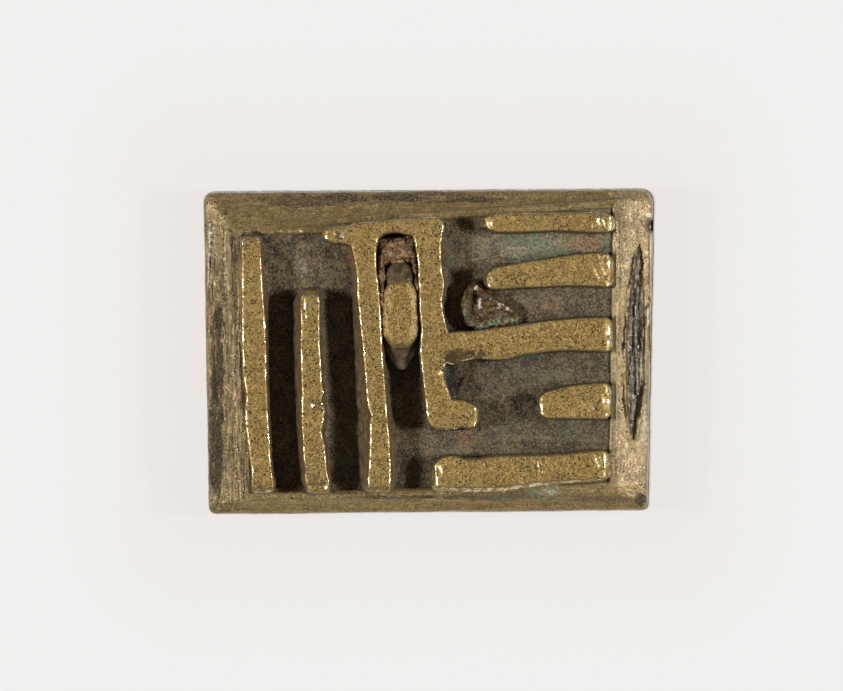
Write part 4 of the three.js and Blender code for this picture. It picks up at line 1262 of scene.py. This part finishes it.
almond = join("almond_cast", [
    bar(
        "almond_flat", ACROSS, standing(almond_rows), shoulder=0.2,
        end_spreads=(0.2, 0.2), end_rounds=(0.1, 0.15),
    ),
    bar(
        "almond_keel", ACROSS, standing(keel_rows), top=TOP - 0.3, shoulder=0.7, end_rounds=(0, 0),
        drops=row_drops((337, 0.05), (344, 0.2), (352, 0.38), (360, 0.54), (368, 0.66)),
    ),
    bar(
        "almond_arch", ACROSS, standing(arch_rows), end_rounds=(0, 0),
        drops=row_drops((262, 0.75), (267, 0.5), (274, 0.3), (286, 0.12)),
    ),
])
cast_bar(almond, ["almond_boss"], [([(387, 303), (388, 310)], 0.06, 0.12)], finish=boss)


# Lumps of metal that ran into the mould

def knob(name, column, row, wide, long, height, sunk=0):
    """A rounded knob by its column and row, its half width and half length, and its height above the field"""
    put_down()
    place = (across(column), up(row), FIELD - sunk)
    bpy.ops.mesh.primitive_ico_sphere_add(
        subdivisions=3, radius=1, location=place, scale=(wide, long, height + sunk),
    )
    return settle(name)


KNOB_STEP = 0.14


def rope(name, stops, wide):
    """Knobs set close together along a line of stops: column, row and height"""
    knobs = []
    for (column, row, height), (next_column, next_row, next_height) in zip(stops, stops[1:]):
        run = math.hypot(next_column - column, next_row - row) / PIXELS_PER_MM
        count = math.ceil(run / KNOB_STEP)
        for step in range(count):
            share = step / count
            knobs.append(knob(
                f"{name}_{len(knobs)}", column + share * (next_column - column),
                row + share * (next_row - row), wide, wide, height + share * (next_height - height),
            ))
    return join(name, knobs)


def lump(node, knobs, finish, softness, waves):
    piece = join(f"{node}_cast", knobs)
    one_skin(piece, FINE_SKIN, softness)
    for size, depth in waves:
        uneven(piece, size, depth)
    finished(piece, [finish], [node])


lump("pocket_lump", [
    knob("pocket_left", 386, 253, 0.55, 0.8, 1.45), knob("pocket_middle", 397, 255, 0.7, 0.75, 1.35),
    knob("pocket_right", 409, 251, 0.6, 0.8, 1.5),
    rope("pocket_back", [(384, 245, 1.1), (414, 243, 1.35)], 0.4),
    rope("pocket_left_seam", [(381, 258, 1.6), (381, 272, 1.75), (382, 300, 1.85), (384.5, 334, 1.4)], 0.24),
    rope("pocket_right_seam", [(414, 254, 1.5), (415, 268, 1.4), (417, 290, 1.6), (417.5, 325, 1.3)], 0.2),
], crust, 3, [(0.5, 0.3), (0.2, 0.25), (0.1, 0.1)])
lump("casting_lump", [
    knob("pool_bed", 485, 309, 1.25, 1, 1.05), knob("pool_boss", 488, 304, 0.5, 0.42, 1.3),
    knob("pool_tail", 504, 316, 0.9, 0.5, 0.85),
    rope("pool_rim", [
        (477, 287.5, 1.3), (471, 290, 1.35), (466.5, 300, 1.25), (467, 314, 1.15), (472, 323, 1.05),
        (484, 325.5, 1.0), (500, 323.5, 0.9), (518, 320.5, 0.6),
    ], 0.3),
    rope("pool_fold", [
        (476, 287.5, 1.3), (485, 294, 1.25), (499, 303, 1.2), (511, 312, 0.9), (518, 319, 0.6),
    ], 0.34),
], pool_crust, 10, [(0.8, 0.3), (0.4, 0.25), (0.25, 0.03)])
ROUGH_WAVES = [(0.6, 0.2), (0.25, 0.2), (0.12, 0.08)]
lump("foot_lump", [
    knob("foot_knob", 464, 384, 1.3, 1.1, 0.12, 0.9), knob("foot_knob_back", 456, 370, 0.8, 0.8, 0.1, 0.9),
], field, 2, ROUGH_WAVES)
lump("rung_lump", [
    knob("rung_knob", 514, 404, 1.3, 0.9, 0.1, 0.9), knob("rung_knob_back", 530, 402, 1.1, 0.8, 0.16, 0.9),
], field, 2, ROUGH_WAVES)
lump("head_lump", [
    knob("head_knob", 304, 266, 1.25, 1.6, 0.45, 1.1), knob("head_knob_front", 308, 283, 1, 0.9, 0.5, 1),
], field, 10, [(0.7, 0.12), (0.25, 0.06), (0.12, 0.04)])


# Floor, camera and lamps, in metres

FLOOR_HALF = 1.5
WARM_REACH = 0.009  # how far the warm light that the metal throws shows on the floor
WARM_PAPER = (0.865, 0.82, 0.785)
PALE_PAPER = (0.88, 0.875, 0.86)
LIT_PAPER = (0.8, 0.8, 0.79)
GLOW_SHARE = 0.9  # the rest of what is seen of the floor is lit, so that it holds the shadow
put_down()
bpy.ops.mesh.primitive_plane_add(size=2 * FLOOR_HALF, location=(0, 0, 0))
floor = bpy.context.object
floor.name = "floor"
paper = Nodes("pale_floor")
past_edge = paper.vector("SUBTRACT", {0: paper.vector("ABSOLUTE", {0: paper.source}), 1: tuple(cad_high)})
away = paper.vector("LENGTH", {0: paper.vector("MAXIMUM", {0: past_edge})}, "Value")
tint = paper.colour(paper.ramp(away, 0, WARM_REACH), WARM_PAPER, PALE_PAPER)
rays = paper.node("ShaderNodeLightPath").outputs
seen = paper.maths("MAXIMUM", rays["Is Camera Ray"], rays["Is Glossy Ray"])
seen = paper.maths("MAXIMUM", seen, rays["Is Transmission Ray"])
glow = paper.made(paper.node("ShaderNodeEmission"), {"Color": tint})
paint = paper.made(paper.node("ShaderNodeBsdfDiffuse"), {"Color": LIT_PAPER})
blend = {0: paper.maths("MULTIPLY", seen, GLOW_SHARE), 1: paint, 2: glow}
paper.link(paper.surface, paper.made(paper.node("ShaderNodeMixShader"), blend))
floor.data.materials.append(paper.material)

# The camera looks straight down
CAMERA_PLACE = (-0.00049, 0.00031, 0.40605)
CAMERA_LENS = 298.9
FILM_WIDTH = 36
camera_data = bpy.data.cameras.new("camera")
camera_data.lens = CAMERA_LENS
camera_data.sensor_width = FILM_WIDTH
camera_data.clip_start = 0.01
camera = bpy.data.objects.new("camera", camera_data)
camera.location = CAMERA_PLACE
bpy.context.scene.collection.objects.link(camera)
bpy.context.scene.camera = camera

LAMP_REACH = 0.5
LAMP_RISE = math.radians(45)
LAMP_POWER = 1.6
LAMP_WIDTH = 0.055
LAMP_LENGTH = 0.09
for name, turn in (("left_lamp", math.pi), ("right_lamp", 0)):
    light = bpy.data.lights.new(name, "AREA")
    light.shape = "RECTANGLE"
    light.size = LAMP_WIDTH
    light.size_y = LAMP_LENGTH
    light.energy = LAMP_POWER
    lamp = bpy.data.objects.new(name, light)
    lamp.location = (
        math.cos(turn) * math.cos(LAMP_RISE) * LAMP_REACH,
        math.sin(turn) * math.cos(LAMP_RISE) * LAMP_REACH,
        math.sin(LAMP_RISE) * LAMP_REACH,
    )
    lamp.rotation_euler = (0, math.pi / 2 - LAMP_RISE, turn)
    bpy.context.scene.collection.objects.link(lamp)

SKY_WARMTH = (1, 0.95, 0.89, 1)
SKY_FADE = 0.45  # height at which the light from the sky is weakest
LOW_SKY = 0.45
HIGH_SKY = 0.08
world = bpy.data.worlds.new("studio")
bpy.context.scene.world = world
world.use_nodes = True
sky = world.node_tree
backdrop = sky.nodes["Background"]
backdrop.inputs["Color"].default_value = SKY_WARMTH
direction = sky.nodes.new("ShaderNodeTexCoord")
height = sky.nodes.new("ShaderNodeSeparateXYZ")
sky.links.new(direction.outputs["Generated"], height.inputs[0])
fading = sky.nodes.new("ShaderNodeMapRange")
sky.links.new(height.outputs["Z"], fading.inputs["Value"])
fading.inputs["From Max"].default_value = SKY_FADE
fading.inputs["To Min"].default_value = LOW_SKY
fading.inputs["To Max"].default_value = HIGH_SKY
sky.links.new(fading.outputs[0], backdrop.inputs["Strength"])

bpy.context.scene.view_settings.view_transform = "Standard"
